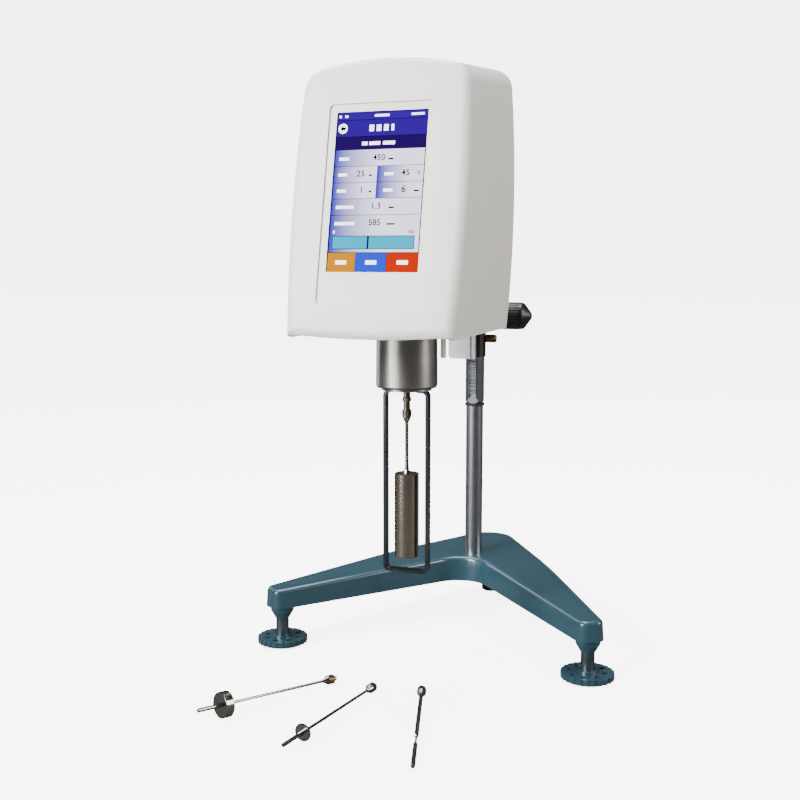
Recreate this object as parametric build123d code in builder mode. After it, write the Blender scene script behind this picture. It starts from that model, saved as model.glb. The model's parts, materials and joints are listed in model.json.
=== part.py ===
from build123d import *
import os
from math import atan, cos, degrees, pi, radians, sin, tan

os.makedirs("parts", exist_ok=True)

# Rotational viscometer on a rack stand, in millimetres.
# The origin is where the spindle axis meets the bench. +Z is up and the front faces -Y.

# Fits
running = 0.05
slip = 0.1
seat_gap = 0.2

# Stand base
throat = 195.0
base_under = 33.0
hub_top = 55.0
toe_top = 49.0
base_draft = 4.0
base_edge_round = 3.5
base_wall = 6.0
pocket_depth = 9.0
heel_point = 302.8
heel_round = 26.0
crotch_point = 187.6
crotch_round = 26.7
flank_x = 85.0
flank_y = 159.6
flank_round = 600.0
toe_round = 8.0
foot_x = 130.0
foot_y = 55.0
toe_outer = (foot_x + 15.0, foot_y - 5.5)
toe_inner = (foot_x - 2.5, foot_y - 17.5)
boss_radius = 9.7
boss_neck_radius = 6.2
boss_bottom = 22.5
boss_shoulder = 28.5

# Levelling feet
glide_radius = 18.0
glide_thick = 1.1
wheel_radius = 21.0
wheel_thick = 4.6
wheel_lobes = 24
lobe_radius = 1.5
wheel_holes = 8
wheel_hole_radius = 2.3
wheel_hole_circle = 13.6
collar_radius = 7.6
collar_high = 1.6
stem_radius = 5.45
stem_top = 40.0
glide_pin_radius = 2.5
glide_pin_high = 5.0
rear_foot_radius = 9.5
rear_foot_y = 264.0

# Column and rack
rod_radius = 7.8
rack_column_radius = 8.5
column_step = 195.5
column_top = 392.0
column_chamfer = 1.0
spigot_radius = 6.0
ring_groove_radius = 6.7
ring_section = 1.1
ring_height = 193.2
washer_radius = 12.0
washer_thick = 1.5
nut_across = 19.0
nut_high = 6.0
cap_high = 5.0
slot_wide = 6.0
slot_floor = 4.4
rack_start = 199.6
tooth_module = 0.8
rack_tip = 8.0
backlash = 0.12

# Carriage
pinion_teeth = 14
pinion_height = 274.8
pinion_wide = 5.4
pinion_shaft_radius = 3.0
block_half_wide = 20.0
block_front = 170.0
block_back = 217.0
block_under = 264.0
block_over_rod = 6.0
bush_wall = 1.05
lower_bush_bottom = 237.0
apron_bottom = 236.5
apron_left = -18.0
apron_right = 6.5
apron_thick = 4.0
knob_radius = 11.7
knob_start = 22.0
knob_shoulder = 46.5
knob_tip = 54.5
lock_height = 253.4
lock_radius = 3.6
lock_end = 19.5
lock_shank_radius = 1.5
support_radius = 6.0
support_rise = 20.0
support_front = 38.0

# Head
head_foot_y = -87.7
head_under = 268.0
head_under_rise = 4.0
head_lean = degrees(atan(0.2195))
head_back = 72.0
head_half_wide = 63.25
head_widest = 360.0
head_shoulder_half = 59.8
head_shoulder = 447.5
head_crown_rise = 8.3
head_low_half = 56.8
head_low = 240.0
head_corner = 16.0
head_rise = 6.2
head_front_round = 7.0
head_back_round = 5.0
shell_wall = 3.0
panel_thick = 3.0
panel_inset = 2.0
plate_thick = 3.0
screen_wide = 66.0
screen_high = 111.4
screen_height = 369.9
recess_wide = 77.0
recess_high = 140.0
recess_height = 361.5
recess_deep = 1.2
recess_round = 4.0
glass_thick = 1.1
module_thick = 6.0
module_margin = 3.0

# Drive under the head
cup_radius = 23.0
cup_top_radius = 22.6
cup_neck_radius = 19.0
cup_chamfer_top = 234.5
cup_bottom = 230.0
cup_wall = 2.2
guard_ring_radius = 18.6
guard_ring_thick = 2.4
guard_half = 16.6
guard_bar_thick = 2.0
guard_bar_wide = 7.5
guard_bottom = 88.6
guard_corner = 2.6
stud_bottom = 212.5
nut_bottom = 207.2
spindle_nut_radius = 3.5
spindle_stem_radius = 1.35
spindle_body_radius = 9.2
spindle_body_bottom = 100.8
spindle_body_top = 164.6
spindle_flare = 8.0
tip_x = 28.3
tip_radius = 2.1
tip_bottom = 252.0

# Works inside the head
panel_boss_r = 5.5
plate_boss_r = 6.5
boss_x = 51.5
hood_screw_radius = 1.5
hood_screw_head = 2.8
plate_screw_y = (-58.0, 46.0)
panel_screws_at = ((53.0, 284.0), (55.5, 428.0))
chassis_thick = 2.0
chassis_half = 42.0
chassis_front = -44.0
chassis_wall_y = 52.0
chassis_top = 414.0
housing_radius = 13.0
housing_top = 316.0
bearing_radius = 9.0
bearing_high = 5.0
drive_tube_radius = 4.0
shaft_radius = 1.5
gear_teeth = 45
motor_teeth = 15
gear_height = 320.0
gear_thick = 6.0
motor_plate_height = 332.0
motor_radius = 11.5
motor_high = 28.0
disc_radius = 10.5
disc_thick = 1.0
drive_disc_height = 340.0
spindle_disc_height = 346.0
spring_height = 342.0
spring_radius = 8.6
spring_pitch = 1.0
spring_half_turns = 6
spring_thick = 0.5
spring_wide = 2.0
board_thick = 1.6
board_gap = 4.4
board_wide = 78.0
board_low = 312.0
board_high = 408.0
vent_height = 380.0
vent_rows = 6
switch_x = -34.0
switch_rise = 58.0
port_x = 34.0
port_rise = 28.0
inlet_x = -34.0
inlet_rise = 24.0

# Heights that follow the head's underside
head_crown = head_shoulder + head_crown_rise
plate_bottom = head_under + head_under_rise
support_height = plate_bottom + support_rise
block_top = support_height + support_radius + block_over_rod
switch_height = plate_bottom + switch_rise
port_height = plate_bottom + port_rise
inlet_height = plate_bottom + inlet_rise

# Loose spindles on the bench
loose_stub_radius = 1.7
loose_nut_start = 3.0
loose_nut_end = 8.2
loose_shoulder_end = 13.0
loose_rise = 0.25


def upright(x, y):
    """A vertical drawing plane through (x, y): its x is +X and its y is +Z."""
    return Plane(origin=(x, y, 0), x_dir=(1, 0, 0), z_dir=(0, -1, 0))


def turned(x, y, *profile):
    """A turned piece on the vertical axis through (x, y), from its (radius, height) points."""
    with BuildPart() as piece:
        with BuildSketch(upright(x, y)):
            Polygon(*profile, align=None)
        revolve(axis=Axis((x, y, 0), (0, 0, 1)))
    return piece.part


def turned_along(plane, *profile):
    """A turned piece on a plane's z axis, from its (radius, distance) points."""
    section = Plane(origin=plane.origin, x_dir=plane.x_dir, z_dir=-plane.y_dir)
    with BuildPart() as piece:
        with BuildSketch(section):
            Polygon(*profile, align=None)
        revolve(axis=Axis(plane.origin, plane.z_dir))
    return piece.part


def tooth_ring(teeth, first_angle):
    """Points round a spur gear with straight flanks, one gap centred half a pitch past each tooth."""
    pitch_radius = tooth_module * teeth / 2
    half_pitch = tooth_module * pi / 4 - backlash / 2
    steps = [
        (pitch_radius - 1.2 * tooth_module, half_pitch + 0.25 * tooth_module),
        (pitch_radius, half_pitch),
        (pitch_radius + 0.88 * tooth_module, half_pitch - 0.4 * tooth_module),
    ]
    points = []
    for tooth in range(teeth):
        middle = first_angle + 360 * tooth / teeth
        for side in (-1, 1):
            for radius, half in steps[::-side]:
                angle = radians(middle) + side * half / radius
                points.append((radius * cos(angle), radius * sin(angle)))
    return points


# Stand base: a boomerang casting, cored out below, that falls towards its toes
def base_plan():
    right = [(flank_x, flank_y), toe_outer, toe_inner]
    left = [(-x, y) for x, y in reversed(right)]
    corners = [(0, heel_point)] + right + [(0, crotch_point)] + left
    rounds = [heel_round, flank_round, toe_round, toe_round, crotch_round, toe_round, toe_round, flank_round]
    FilletPolyline(*corners, radius=rounds, close=True)


hub_front = throat - rod_radius - 2
base_fall = (hub_top - toe_top) / (hub_front - toe_inner[1])
pocket_top = base_under + pocket_depth
hub_under = base_under + washer_thick + nut_high + 0.5
bore_top = stem_top + 5.0

with BuildPart() as base_casting:
    with BuildSketch(Plane.XY.offset(base_under)):
        with BuildLine():
            base_plan()
        make_face()
    extrude(amount=hub_top - base_under + 2)
    walls = base_casting.faces().filter_by(lambda face: abs(face.normal_at().Z) < 0.1)
    draft(walls, Plane.XY.offset(base_under), base_draft)
    with BuildSketch(Plane.YZ):
        Polygon(
            (0, base_under), (0, toe_top - base_fall * toe_inner[1]), (hub_front, hub_top),
            (heel_point, hub_top), (heel_point, base_under), align=None,
        )
    extrude(amount=foot_x + 2 * wheel_radius, both=True, mode=Mode.INTERSECT)
    top_faces = base_casting.faces().filter_by(lambda face: face.normal_at().Z > 0.9)
    crease = top_faces.edges().filter_by(Axis.X)
    fillet([edge for edge in top_faces.edges() if edge not in crease], radius=base_edge_round)
    with BuildSketch(Plane.XY.offset(base_under)):
        with BuildLine():
            base_plan()
        make_face()
        offset(amount=-base_wall, mode=Mode.REPLACE)
    extrude(amount=pocket_depth, mode=Mode.SUBTRACT)
    with BuildSketch(Plane.XY.offset(hub_under)):
        with Locations((0, throat)):
            Circle(washer_radius + 3)
    extrude(until=Until.NEXT)
    for side in (-1, 1):
        with BuildSketch(upright(side * foot_x, foot_y)):
            Polygon(
                (0, boss_bottom), (boss_neck_radius, boss_bottom), (boss_radius, boss_shoulder),
                (boss_radius, pocket_top + 1), (0, pocket_top + 1), align=None,
            )
        revolve(axis=Axis((side * foot_x, foot_y, 0), (0, 0, 1)))
        with BuildSketch(Plane.XY.offset(boss_bottom)):
            with Locations((side * foot_x, foot_y)):
                Circle(stem_radius + running)
        extrude(amount=bore_top - boss_bottom, mode=Mode.SUBTRACT)
    with BuildSketch(Plane.XY.offset(base_under)):
        with Locations((0, rear_foot_y)):
            Circle(rear_foot_radius + 2)
    extrude(until=Until.NEXT)
    with BuildSketch(Plane.XY.offset(base_under)):
        with Locations((0, rear_foot_y)):
            Circle(3)
    extrude(amount=pocket_depth, mode=Mode.SUBTRACT)
    with BuildSketch(Plane.XY.offset(hub_under)):
        with Locations((0, throat)):
            Circle(spigot_radius + running)
    extrude(amount=hub_top, mode=Mode.SUBTRACT)
base_casting.part.label = "base_casting"
export_step(base_casting.part, "parts/base_casting.step")

with BuildPart() as rear_foot:
    add(turned(
        0, rear_foot_y, (0, 0), (rear_foot_radius - 1, 0), (rear_foot_radius, 1), (rear_foot_radius - 2, base_under),
        (3, base_under), (3, base_under + pocket_depth - 1), (0, base_under + pocket_depth - 1),
    ))
rear_foot.part.label = "rear_foot"
export_step(rear_foot.part, "parts/rear_foot.step")

# Levelling feet: a glide that stays on the bench, and a lobed wheel on a threaded stem
wheel_bottom = glide_thick + slip
for side_name, side in (("left", -1), ("right", 1)):
    with BuildPart() as foot_glide:
        add(turned(
            side * foot_x, foot_y, (0, 0), (glide_radius, 0), (glide_radius, glide_thick),
            (glide_pin_radius, glide_thick), (glide_pin_radius, glide_pin_high), (0, glide_pin_high),
        ))
    foot_glide.part.label = "foot_glide_" + side_name
    export_step(foot_glide.part, "parts/foot_glide_" + side_name + ".step")

    with BuildPart() as foot_wheel:
        add(turned(
            side * foot_x, foot_y, (stem_radius, wheel_bottom), (wheel_radius, wheel_bottom),
            (wheel_radius, wheel_bottom + wheel_thick), (collar_radius, wheel_bottom + wheel_thick),
            (collar_radius, wheel_bottom + wheel_thick + collar_high),
            (stem_radius, wheel_bottom + wheel_thick + collar_high),
        ))
        with BuildSketch(Plane.XY.offset(wheel_bottom)):
            with Locations((side * foot_x, foot_y)):
                with PolarLocations(wheel_radius + 0.6, wheel_lobes):
                    Circle(lobe_radius)
                with PolarLocations(wheel_hole_circle, wheel_holes):
                    Circle(wheel_hole_radius)
        extrude(amount=wheel_thick, mode=Mode.SUBTRACT)
    foot_wheel.part.label = "foot_wheel_" + side_name
    export_step(foot_wheel.part, "parts/foot_wheel_" + side_name + ".step")

    with BuildPart() as foot_stem:
        add(turned(
            side * foot_x, foot_y, (glide_pin_radius + running, wheel_bottom), (stem_radius, wheel_bottom),
            (stem_radius, stem_top - 1), (stem_radius - 1, stem_top), (0, stem_top),
            (0, glide_pin_high + seat_gap), (glide_pin_radius + running, glide_pin_high + seat_gap),
        ))
    foot_stem.part.label = "foot_stem_" + side_name
    export_step(foot_stem.part, "parts/foot_stem_" + side_name + ".step")

# Column: a ground rod with a spigot below, a ring groove, and a larger racked length above
spigot_bottom = hub_under - washer_thick - nut_high
rack_top = column_top - 4
with BuildPart() as column:
    add(turned(
        0, throat, (0, spigot_bottom), (spigot_radius, spigot_bottom), (spigot_radius, hub_top),
        (rod_radius, hub_top), (rod_radius, ring_height - ring_section), (ring_groove_radius, ring_height - ring_section),
        (ring_groove_radius, ring_height + ring_section), (rod_radius - 0.6, column_step - column_chamfer),
        (rack_column_radius - 0.4, column_step), (rack_column_radius, column_step + column_chamfer),
        (rack_column_radius, column_top), (3.5, column_top), (3.5, column_top - 12), (0, column_top - 12),
    ))
    with BuildSketch(Plane.XZ.offset(-throat + slot_floor)):
        with Locations((0, (rack_start + rack_top) / 2)):
            Rectangle(slot_wide + 2 * running, rack_top - rack_start)
    extrude(amount=rack_column_radius, mode=Mode.SUBTRACT)
    with BuildSketch(Plane.XZ.offset(-throat + rack_column_radius + 3.5)):
        with Locations((0, column_step)):
            Circle(rack_start - column_step)
    extrude(amount=-5, taper=-12, mode=Mode.SUBTRACT)
column.part.label = "column"
export_step(column.part, "parts/column.step")

# Rack: teeth cut across a bar that lies in the column's slot
pitch = tooth_module * pi
half_tooth = pitch / 4 - backlash / 2
flank = tan(radians(20)) * tooth_module
teeth_below = int((pinion_height - rack_start - pitch) / pitch)
teeth_above = int((rack_top - pinion_height - pitch) / pitch)
rack_back = throat - slot_floor - running
tip_y = throat - rack_tip
root_y = tip_y + 2.2 * tooth_module
rack_points = [(rack_back, rack_start + running), (root_y, rack_start + running)]
for tooth in range(-teeth_below, teeth_above + 1):
    middle = pinion_height + tooth * pitch
    rack_points += [
        (root_y, middle - half_tooth - 1.2 * flank), (tip_y, middle - half_tooth + flank),
        (tip_y, middle + half_tooth - flank), (root_y, middle + half_tooth + 1.2 * flank),
    ]
rack_points += [(root_y, rack_top - running), (rack_back, rack_top - running)]
with BuildPart() as rack:
    with BuildSketch(Plane.YZ):
        Polygon(*rack_points, align=None)
    extrude(amount=slot_wide / 2, both=True)
rack.part.label = "rack"
export_step(rack.part, "parts/rack.step")

with BuildPart() as column_cap:
    add(turned(
        0, throat, (0, column_top - 8), (3.4, column_top - 8), (3.4, column_top), (rack_column_radius, column_top),
        (rack_column_radius, column_top + cap_high - 2), (rack_column_radius - 2, column_top + cap_high),
        (0, column_top + cap_high),
    ))
column_cap.part.label = "column_cap"
export_step(column_cap.part, "parts/column_cap.step")

with BuildPart() as stop_ring:
    with BuildSketch(upright(0, throat)):
        with Locations((ring_groove_radius + ring_section + running, ring_height)):
            Rectangle(2 * (ring_section - running), 2 * (ring_section - running))
    revolve(axis=Axis((0, throat, 0), (0, 0, 1)))
stop_ring.part.label = "stop_ring"
export_step(stop_ring.part, "parts/stop_ring.step")

with BuildPart() as column_nut:
    with BuildSketch(Plane.XY.offset(spigot_bottom)):
        with Locations((0, throat)):
            RegularPolygon(nut_across / 2, 6, major_radius=False)
    extrude(amount=nut_high)
    with BuildSketch(Plane.XY.offset(hub_under - washer_thick)):
        with Locations((0, throat)):
            Circle(washer_radius)
    extrude(amount=washer_thick)
    with BuildSketch(Plane.XY.offset(spigot_bottom)):
        with Locations((0, throat)):
            Circle(spigot_radius + running)
    extrude(amount=hub_under - spigot_bottom, mode=Mode.SUBTRACT)
column_nut.part.label = "column_nut"
export_step(column_nut.part, "parts/column_nut.step")

# Carriage: a block that slides on the column and holds the pinion in front of the rack
pinion_pitch_radius = tooth_module * pinion_teeth / 2
pinion_tip_radius = pinion_pitch_radius + 0.88 * tooth_module
pinion_y = throat - rack_tip + tooth_module - pinion_pitch_radius - 0.1
bush_inner = rack_column_radius + running
bush_outer = bush_inner + bush_wall
pinion_bush_radius = pinion_shaft_radius + running + 1.5
support_end = throat - bush_outer - 1.5

with BuildPart() as lift_block:
    with BuildSketch(Plane.XY.offset(block_under)):
        with Locations((0, (block_front + block_back) / 2)):
            RectangleRounded(2 * block_half_wide, block_back - block_front, 5)
    extrude(amount=block_top - block_under)
    top_rim = lift_block.faces().sort_by(Axis.Z)[-1].edges()
    fillet(top_rim, radius=2)
    with BuildSketch(Plane.XZ.offset(-block_front - apron_thick)):
        with BuildLine():
            FilletPolyline(
                (apron_left, block_under + 1), (apron_left, apron_bottom), (apron_right, apron_bottom),
                (apron_right, block_under + 1), radius=[3, 0.8], close=False,
            )
            Line((apron_right, block_under + 1), (apron_left, block_under + 1))
        make_face()
    extrude(amount=apron_thick)
    with BuildSketch(Plane.XZ.offset(-block_front)):
        with Locations((3.4, (apron_bottom + block_under) / 2)):
            Rectangle(2.6, block_under - apron_bottom)
    extrude(amount=-1.5, mode=Mode.SUBTRACT)
    with BuildSketch(Plane.XY.offset(block_under)):
        with Locations((0, throat)):
            Circle(bush_outer + running)
    extrude(amount=block_top - block_under, mode=Mode.SUBTRACT)
    with BuildSketch(Plane.YZ.offset(-block_half_wide)):
        with Locations((pinion_y, pinion_height)):
            Circle(pinion_bush_radius + running)
    extrude(amount=2 * block_half_wide, mode=Mode.SUBTRACT)
    with BuildSketch(Plane.YZ):
        with Locations((pinion_y, pinion_height)):
            Circle(pinion_tip_radius + 0.7)
    extrude(amount=pinion_wide / 2 + 0.7, both=True, mode=Mode.SUBTRACT)
    with BuildSketch(Plane.XZ.offset(-block_front)):
        with Locations((0, support_height)):
            Circle(support_radius + running)
    extrude(amount=-(support_end - block_front), mode=Mode.SUBTRACT)
    with BuildSketch(Plane.XY.offset(support_height)):
        with Locations((0, (block_front + support_end) / 2)):
            Circle(2.5 + running)
    extrude(amount=block_top - support_height, mode=Mode.SUBTRACT)
lift_block.part.label = "lift_block"
export_step(lift_block.part, "parts/lift_block.step")

lower_bush_top = pinion_height - pinion_tip_radius - 1.2
upper_bush_bottom = pinion_height + pinion_tip_radius + 1.2
with BuildPart() as lower_bush:
    add(turned(
        0, throat, (bush_inner, lower_bush_bottom), (bush_outer, lower_bush_bottom),
        (bush_outer, lower_bush_top), (bush_inner, lower_bush_top),
    ))
    with BuildSketch(Plane.YZ.offset(bush_inner)):
        with Locations((throat, lock_height)):
            Circle(lock_radius)
    extrude(amount=bush_wall + 1, mode=Mode.ADD)
    with BuildSketch(Plane.XY.offset(lower_bush_bottom)):
        with Locations((0, throat)):
            Circle(bush_inner)
    extrude(amount=lower_bush_top - lower_bush_bottom, mode=Mode.SUBTRACT)
    with BuildSketch(Plane.YZ):
        with Locations((throat, lock_height)):
            Circle(lock_shank_radius + running)
    extrude(amount=lock_end, mode=Mode.SUBTRACT)
lower_bush.part.label = "lower_bush"
export_step(lower_bush.part, "parts/lower_bush.step")

with BuildPart() as upper_bush:
    add(turned(
        0, throat, (bush_inner, upper_bush_bottom), (bush_outer, upper_bush_bottom),
        (bush_outer, block_top - 0.5), (bush_inner, block_top - 0.5),
    ))
upper_bush.part.label = "upper_bush"
export_step(upper_bush.part, "parts/upper_bush.step")

# Lift shaft: the pinion, its two bushes and the knob outside on the right
cross_axis = Plane(origin=(0, pinion_y, pinion_height), x_dir=(0, 0, -1), z_dir=(1, 0, 0))
with BuildPart() as pinion_bushes:
    for side in (-1, 1):
        inner_x = side * (pinion_wide / 2 + 0.8)
        with BuildSketch(Plane.YZ.offset(inner_x)):
            with Locations((pinion_y, pinion_height)):
                Circle(pinion_bush_radius)
                Circle(pinion_shaft_radius + running, mode=Mode.SUBTRACT)
        extrude(amount=side * (block_half_wide - abs(inner_x)))
pinion_bushes.part.label = "pinion_bushes"
export_step(pinion_bushes.part, "parts/pinion_bushes.step")

with BuildPart() as pinion_shaft:
    with BuildSketch(Plane.YZ.offset(-block_half_wide + 1)):
        with Locations((pinion_y, pinion_height)):
            Circle(pinion_shaft_radius)
    extrude(amount=block_half_wide - 1 + knob_start + 12)
    with BuildSketch(Plane(origin=(0, pinion_y, pinion_height), x_dir=(0, 1, 0), z_dir=(1, 0, 0))):
        Polygon(*tooth_ring(pinion_teeth, 180 / pinion_teeth), align=None)
    extrude(amount=pinion_wide / 2, both=True)
pinion_shaft.part.label = "pinion_shaft"
export_step(pinion_shaft.part, "parts/pinion_shaft.step")

with BuildPart() as lift_knob:
    add(turned_along(
        cross_axis, (pinion_shaft_radius, knob_start), (knob_radius - 1.5, knob_start), (knob_radius, knob_start + 2),
        (knob_radius, knob_shoulder), (knob_radius - 1, knob_shoulder + 1.6), (3.2, knob_tip - 0.6), (2.2, knob_tip),
        (0, knob_tip), (0, knob_start + 12), (pinion_shaft_radius, knob_start + 12),
    ))
lift_knob.part.label = "lift_knob"
export_step(lift_knob.part, "parts/lift_knob.step")

lock_axis = Plane(origin=(0, throat, lock_height), x_dir=(0, 0, -1), z_dir=(1, 0, 0))
lock_head_start = bush_outer + 1 + slip
with BuildPart() as lock_screw:
    add(turned_along(
        lock_axis, (0, rack_column_radius + seat_gap), (lock_shank_radius, rack_column_radius + seat_gap),
        (lock_shank_radius, lock_head_start), (lock_radius, lock_head_start), (lock_radius, lock_end - 0.6),
        (lock_radius - 0.6, lock_end), (0, lock_end),
    ))
lock_screw.part.label = "lock_screw"
export_step(lock_screw.part, "parts/lock_screw.step")

with BuildPart() as support_rod:
    with BuildSketch(Plane.XZ.offset(-support_front)):
        with Locations((0, support_height)):
            Circle(support_radius)
    extrude(amount=-(support_end - support_front))
support_rod.part.label = "support_rod"
export_step(support_rod.part, "parts/support_rod.step")

clamp_y = (block_front + support_end) / 2
with BuildPart() as rod_clamp_screw:
    add(turned(
        0, clamp_y, (0, support_height + support_radius), (2.5, support_height + support_radius),
        (2.5, block_top), (4.25, block_top), (4.25, block_top + 5), (0, block_top + 5),
    ))
    with BuildSketch(Plane.XY.offset(block_top + 5)):
        with Locations((0, clamp_y)):
            RegularPolygon(2, 6, major_radius=False)
    extrude(amount=-2.5, mode=Mode.SUBTRACT)
rod_clamp_screw.part.label = "rod_clamp_screw"
export_step(rod_clamp_screw.part, "parts/rod_clamp_screw.step")


# Head: a hood whose face leans back, whose sides bulge and whose roof climbs to the rear
def head_form(inset, back, drop, edge_round):
    """The head's outer form, shrunk by inset at its front, sides and roof, cut at a rear plane."""
    front_shift = inset / cos(radians(head_lean))
    top = head_crown + 40
    low = (head_low_half - inset, head_low)
    side = (head_half_wide - inset, head_widest)
    shoulder = (head_shoulder_half - inset, head_shoulder - inset)
    with BuildPart() as form:
        with BuildSketch(upright(0, head_foot_y)) as outline:
            with BuildLine():
                ThreePointArc(low, side, shoulder)
                ThreePointArc(shoulder, (0, head_crown - inset), (-shoulder[0], shoulder[1]))
                ThreePointArc((-shoulder[0], shoulder[1]), (-side[0], side[1]), (-low[0], low[1]))
                Line((-low[0], low[1]), low)
            make_face()
            fillet(outline.vertices().group_by(Axis.Y)[-1], radius=head_corner - inset)
        extrude(amount=back - head_foot_y + 20, dir=(0, cos(radians(head_rise)), sin(radians(head_rise))))
        with BuildSketch(Plane.YZ):
            front_low = head_foot_y + front_shift - (head_under - head_low) * tan(radians(head_lean))
            front_high = head_foot_y + front_shift + (top - head_under) * tan(radians(head_lean))
            Polygon((front_low, head_low), (back, head_low), (back, top), (front_high, top), align=None)
        extrude(amount=head_half_wide + 5, both=True, mode=Mode.INTERSECT)
        with BuildSketch(upright(0, head_foot_y - 20)):
            with BuildLine():
                rise = head_under + head_under_rise - drop
                ThreePointArc((-70, rise), (0, head_under - drop), (70, rise))
                Polyline((70, rise), (70, head_low - 20), (-70, head_low - 20), (-70, rise))
            make_face()
        extrude(amount=-(back - head_foot_y + 40), mode=Mode.SUBTRACT)
        front_rim = form.faces().sort_by(Axis.Y)[0].edges()
        fillet(front_rim, radius=edge_round)
    return form.part


face_plane = Plane(
    origin=(0, head_foot_y, head_under), x_dir=(1, 0, 0),
    z_dir=(0, -cos(radians(head_lean)), sin(radians(head_lean))),
)


def up_face(height):
    """Distance up the leaning face for a height above the bench."""
    return (height - head_under) / cos(radians(head_lean))


panel_back = head_back - panel_inset
panel_front = panel_back - panel_thick
plate_top = plate_bottom + plate_thick
hood_form = head_form(0, head_back, 0, head_front_round)
cavity = head_form(shell_wall, head_back + 10, 10, head_front_round - shell_wall)
fitted_form = head_form(shell_wall + seat_gap, head_back + 10, 10, head_front_round - shell_wall - seat_gap)

level_y = 10.0
level_radius = 9.0
level_high = 12.0
level_top = head_crown + (level_y - head_foot_y) * tan(radians(head_rise)) + 0.8
screw_bore = hood_screw_radius + running
boss_high = 12.0

with BuildPart() as head_hood:
    add(hood_form)
    add(cavity, mode=Mode.SUBTRACT)
    with BuildSketch(face_plane):
        with Locations((0, up_face(recess_height))):
            RectangleRounded(recess_wide, recess_high, recess_round)
    extrude(amount=-recess_deep, mode=Mode.SUBTRACT)
    with BuildSketch(face_plane):
        with Locations((0, up_face(screen_height))):
            Rectangle(screen_wide, screen_high)
    extrude(amount=-shell_wall - 1, mode=Mode.SUBTRACT)
    with BuildSketch(Plane.XY.offset(level_top - level_high)):
        with Locations((0, level_y)):
            Circle(level_radius + slip)
    extrude(amount=level_high + 5, mode=Mode.SUBTRACT)
    with BuildSketch(Plane.XY.offset(plate_top)):
        for y in plate_screw_y:
            with Locations((-boss_x, y), (boss_x, y)):
                Circle(plate_boss_r)
    extrude(amount=boss_high)
    with BuildSketch(Plane.XZ.offset(-panel_front)):
        for x, z in panel_screws_at:
            with Locations((-x, z), (x, z)):
                Circle(panel_boss_r)
    extrude(amount=boss_high)
    with BuildSketch(Plane.XY.offset(plate_top)):
        for y in plate_screw_y:
            with Locations((-boss_x, y), (boss_x, y)):
                Circle(screw_bore)
    extrude(amount=boss_high - 2, mode=Mode.SUBTRACT)
    with BuildSketch(Plane.XZ.offset(-panel_front)):
        for x, z in panel_screws_at:
            with Locations((-x, z), (x, z)):
                Circle(screw_bore)
    extrude(amount=boss_high - 2, mode=Mode.SUBTRACT)
head_hood.part.label = "head_hood"
export_step(head_hood.part, "parts/head_hood.step")

# Rear panel with its rod hole, switch and sockets, and the plate that closes the head below
switch_wide = 20.0
switch_tall = 14.0
port_wide = 13.0
port_tall = 12.0
inlet_radius = 6.0
vent_long = 34.0
vent_wide = 2.4
with BuildPart() as back_panel:
    with BuildSketch(Plane.XZ.offset(-panel_back)):
        with Locations((0, (plate_bottom + head_crown + 30) / 2)):
            Rectangle(2 * head_half_wide + 10, head_crown + 30 - plate_bottom)
    extrude(amount=panel_thick)
    add(fitted_form, mode=Mode.INTERSECT)
    with BuildSketch(Plane.XZ.offset(-panel_back)):
        with Locations((0, support_height)):
            Circle(support_radius + 0.5)
        with Locations((switch_x, switch_height)):
            Rectangle(switch_wide + 2 * slip, switch_tall + 2 * slip)
        with Locations((port_x, port_height)):
            Rectangle(port_wide + 2 * slip, port_tall + 2 * slip)
        with Locations((inlet_x, inlet_height)):
            Circle(inlet_radius + slip)
        with Locations((0, vent_height)):
            with GridLocations(0, 3 * vent_wide, 1, vent_rows):
                SlotOverall(vent_long, vent_wide)
        for x, z in panel_screws_at:
            with Locations((-x, z), (x, z)):
                Circle(screw_bore)
    extrude(amount=panel_thick, mode=Mode.SUBTRACT)
back_panel.part.label = "back_panel"
export_step(back_panel.part, "parts/back_panel.step")

with BuildPart() as bottom_plate:
    with BuildSketch(Plane.XY.offset(plate_bottom)):
        with Locations((0, (panel_front - seat_gap - 100) / 2)):
            Rectangle(2 * head_half_wide + 10, panel_front - seat_gap + 100)
    extrude(amount=plate_thick)
    add(fitted_form, mode=Mode.INTERSECT)
    with BuildSketch(Plane.XY.offset(plate_bottom)):
        Circle(cup_top_radius + seat_gap)
        for y in plate_screw_y:
            with Locations((-boss_x, y), (boss_x, y)):
                Circle(screw_bore)
        with Locations((tip_x, 0)):
            Circle(tip_radius + running)
    extrude(amount=plate_thick, mode=Mode.SUBTRACT)
bottom_plate.part.label = "bottom_plate"
export_step(bottom_plate.part, "parts/bottom_plate.step")

screw_head_high = 1.4
for name, anchors in (
    ("plate_screws", [((x, y, plate_bottom), (0, 0, 1)) for x in (-boss_x, boss_x) for y in plate_screw_y]),
    ("panel_screws", [((side * x, panel_back, z), (0, -1, 0)) for side in (-1, 1) for x, z in panel_screws_at]),
):
    with BuildPart() as screws:
        for origin, direction in anchors:
            add(turned_along(
                Plane(origin=origin, z_dir=direction), (0, -screw_head_high), (hood_screw_head - 0.5, -screw_head_high),
                (hood_screw_head, 0), (hood_screw_radius, 0), (hood_screw_radius, panel_thick + boss_high - 3),
                (0, panel_thick + boss_high - 3),
            ))
    screws.part.label = name
    export_step(screws.part, "parts/" + name + ".step")

with BuildPart() as temperature_tip:
    add(turned(
        tip_x, 0, (0, tip_bottom), (tip_radius - 0.5, tip_bottom), (tip_radius, tip_bottom + 0.5),
        (tip_radius, plate_top - slip), (0, plate_top - slip),
    ))
temperature_tip.part.label = "temperature_tip"
export_step(temperature_tip.part, "parts/temperature_tip.step")

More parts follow.
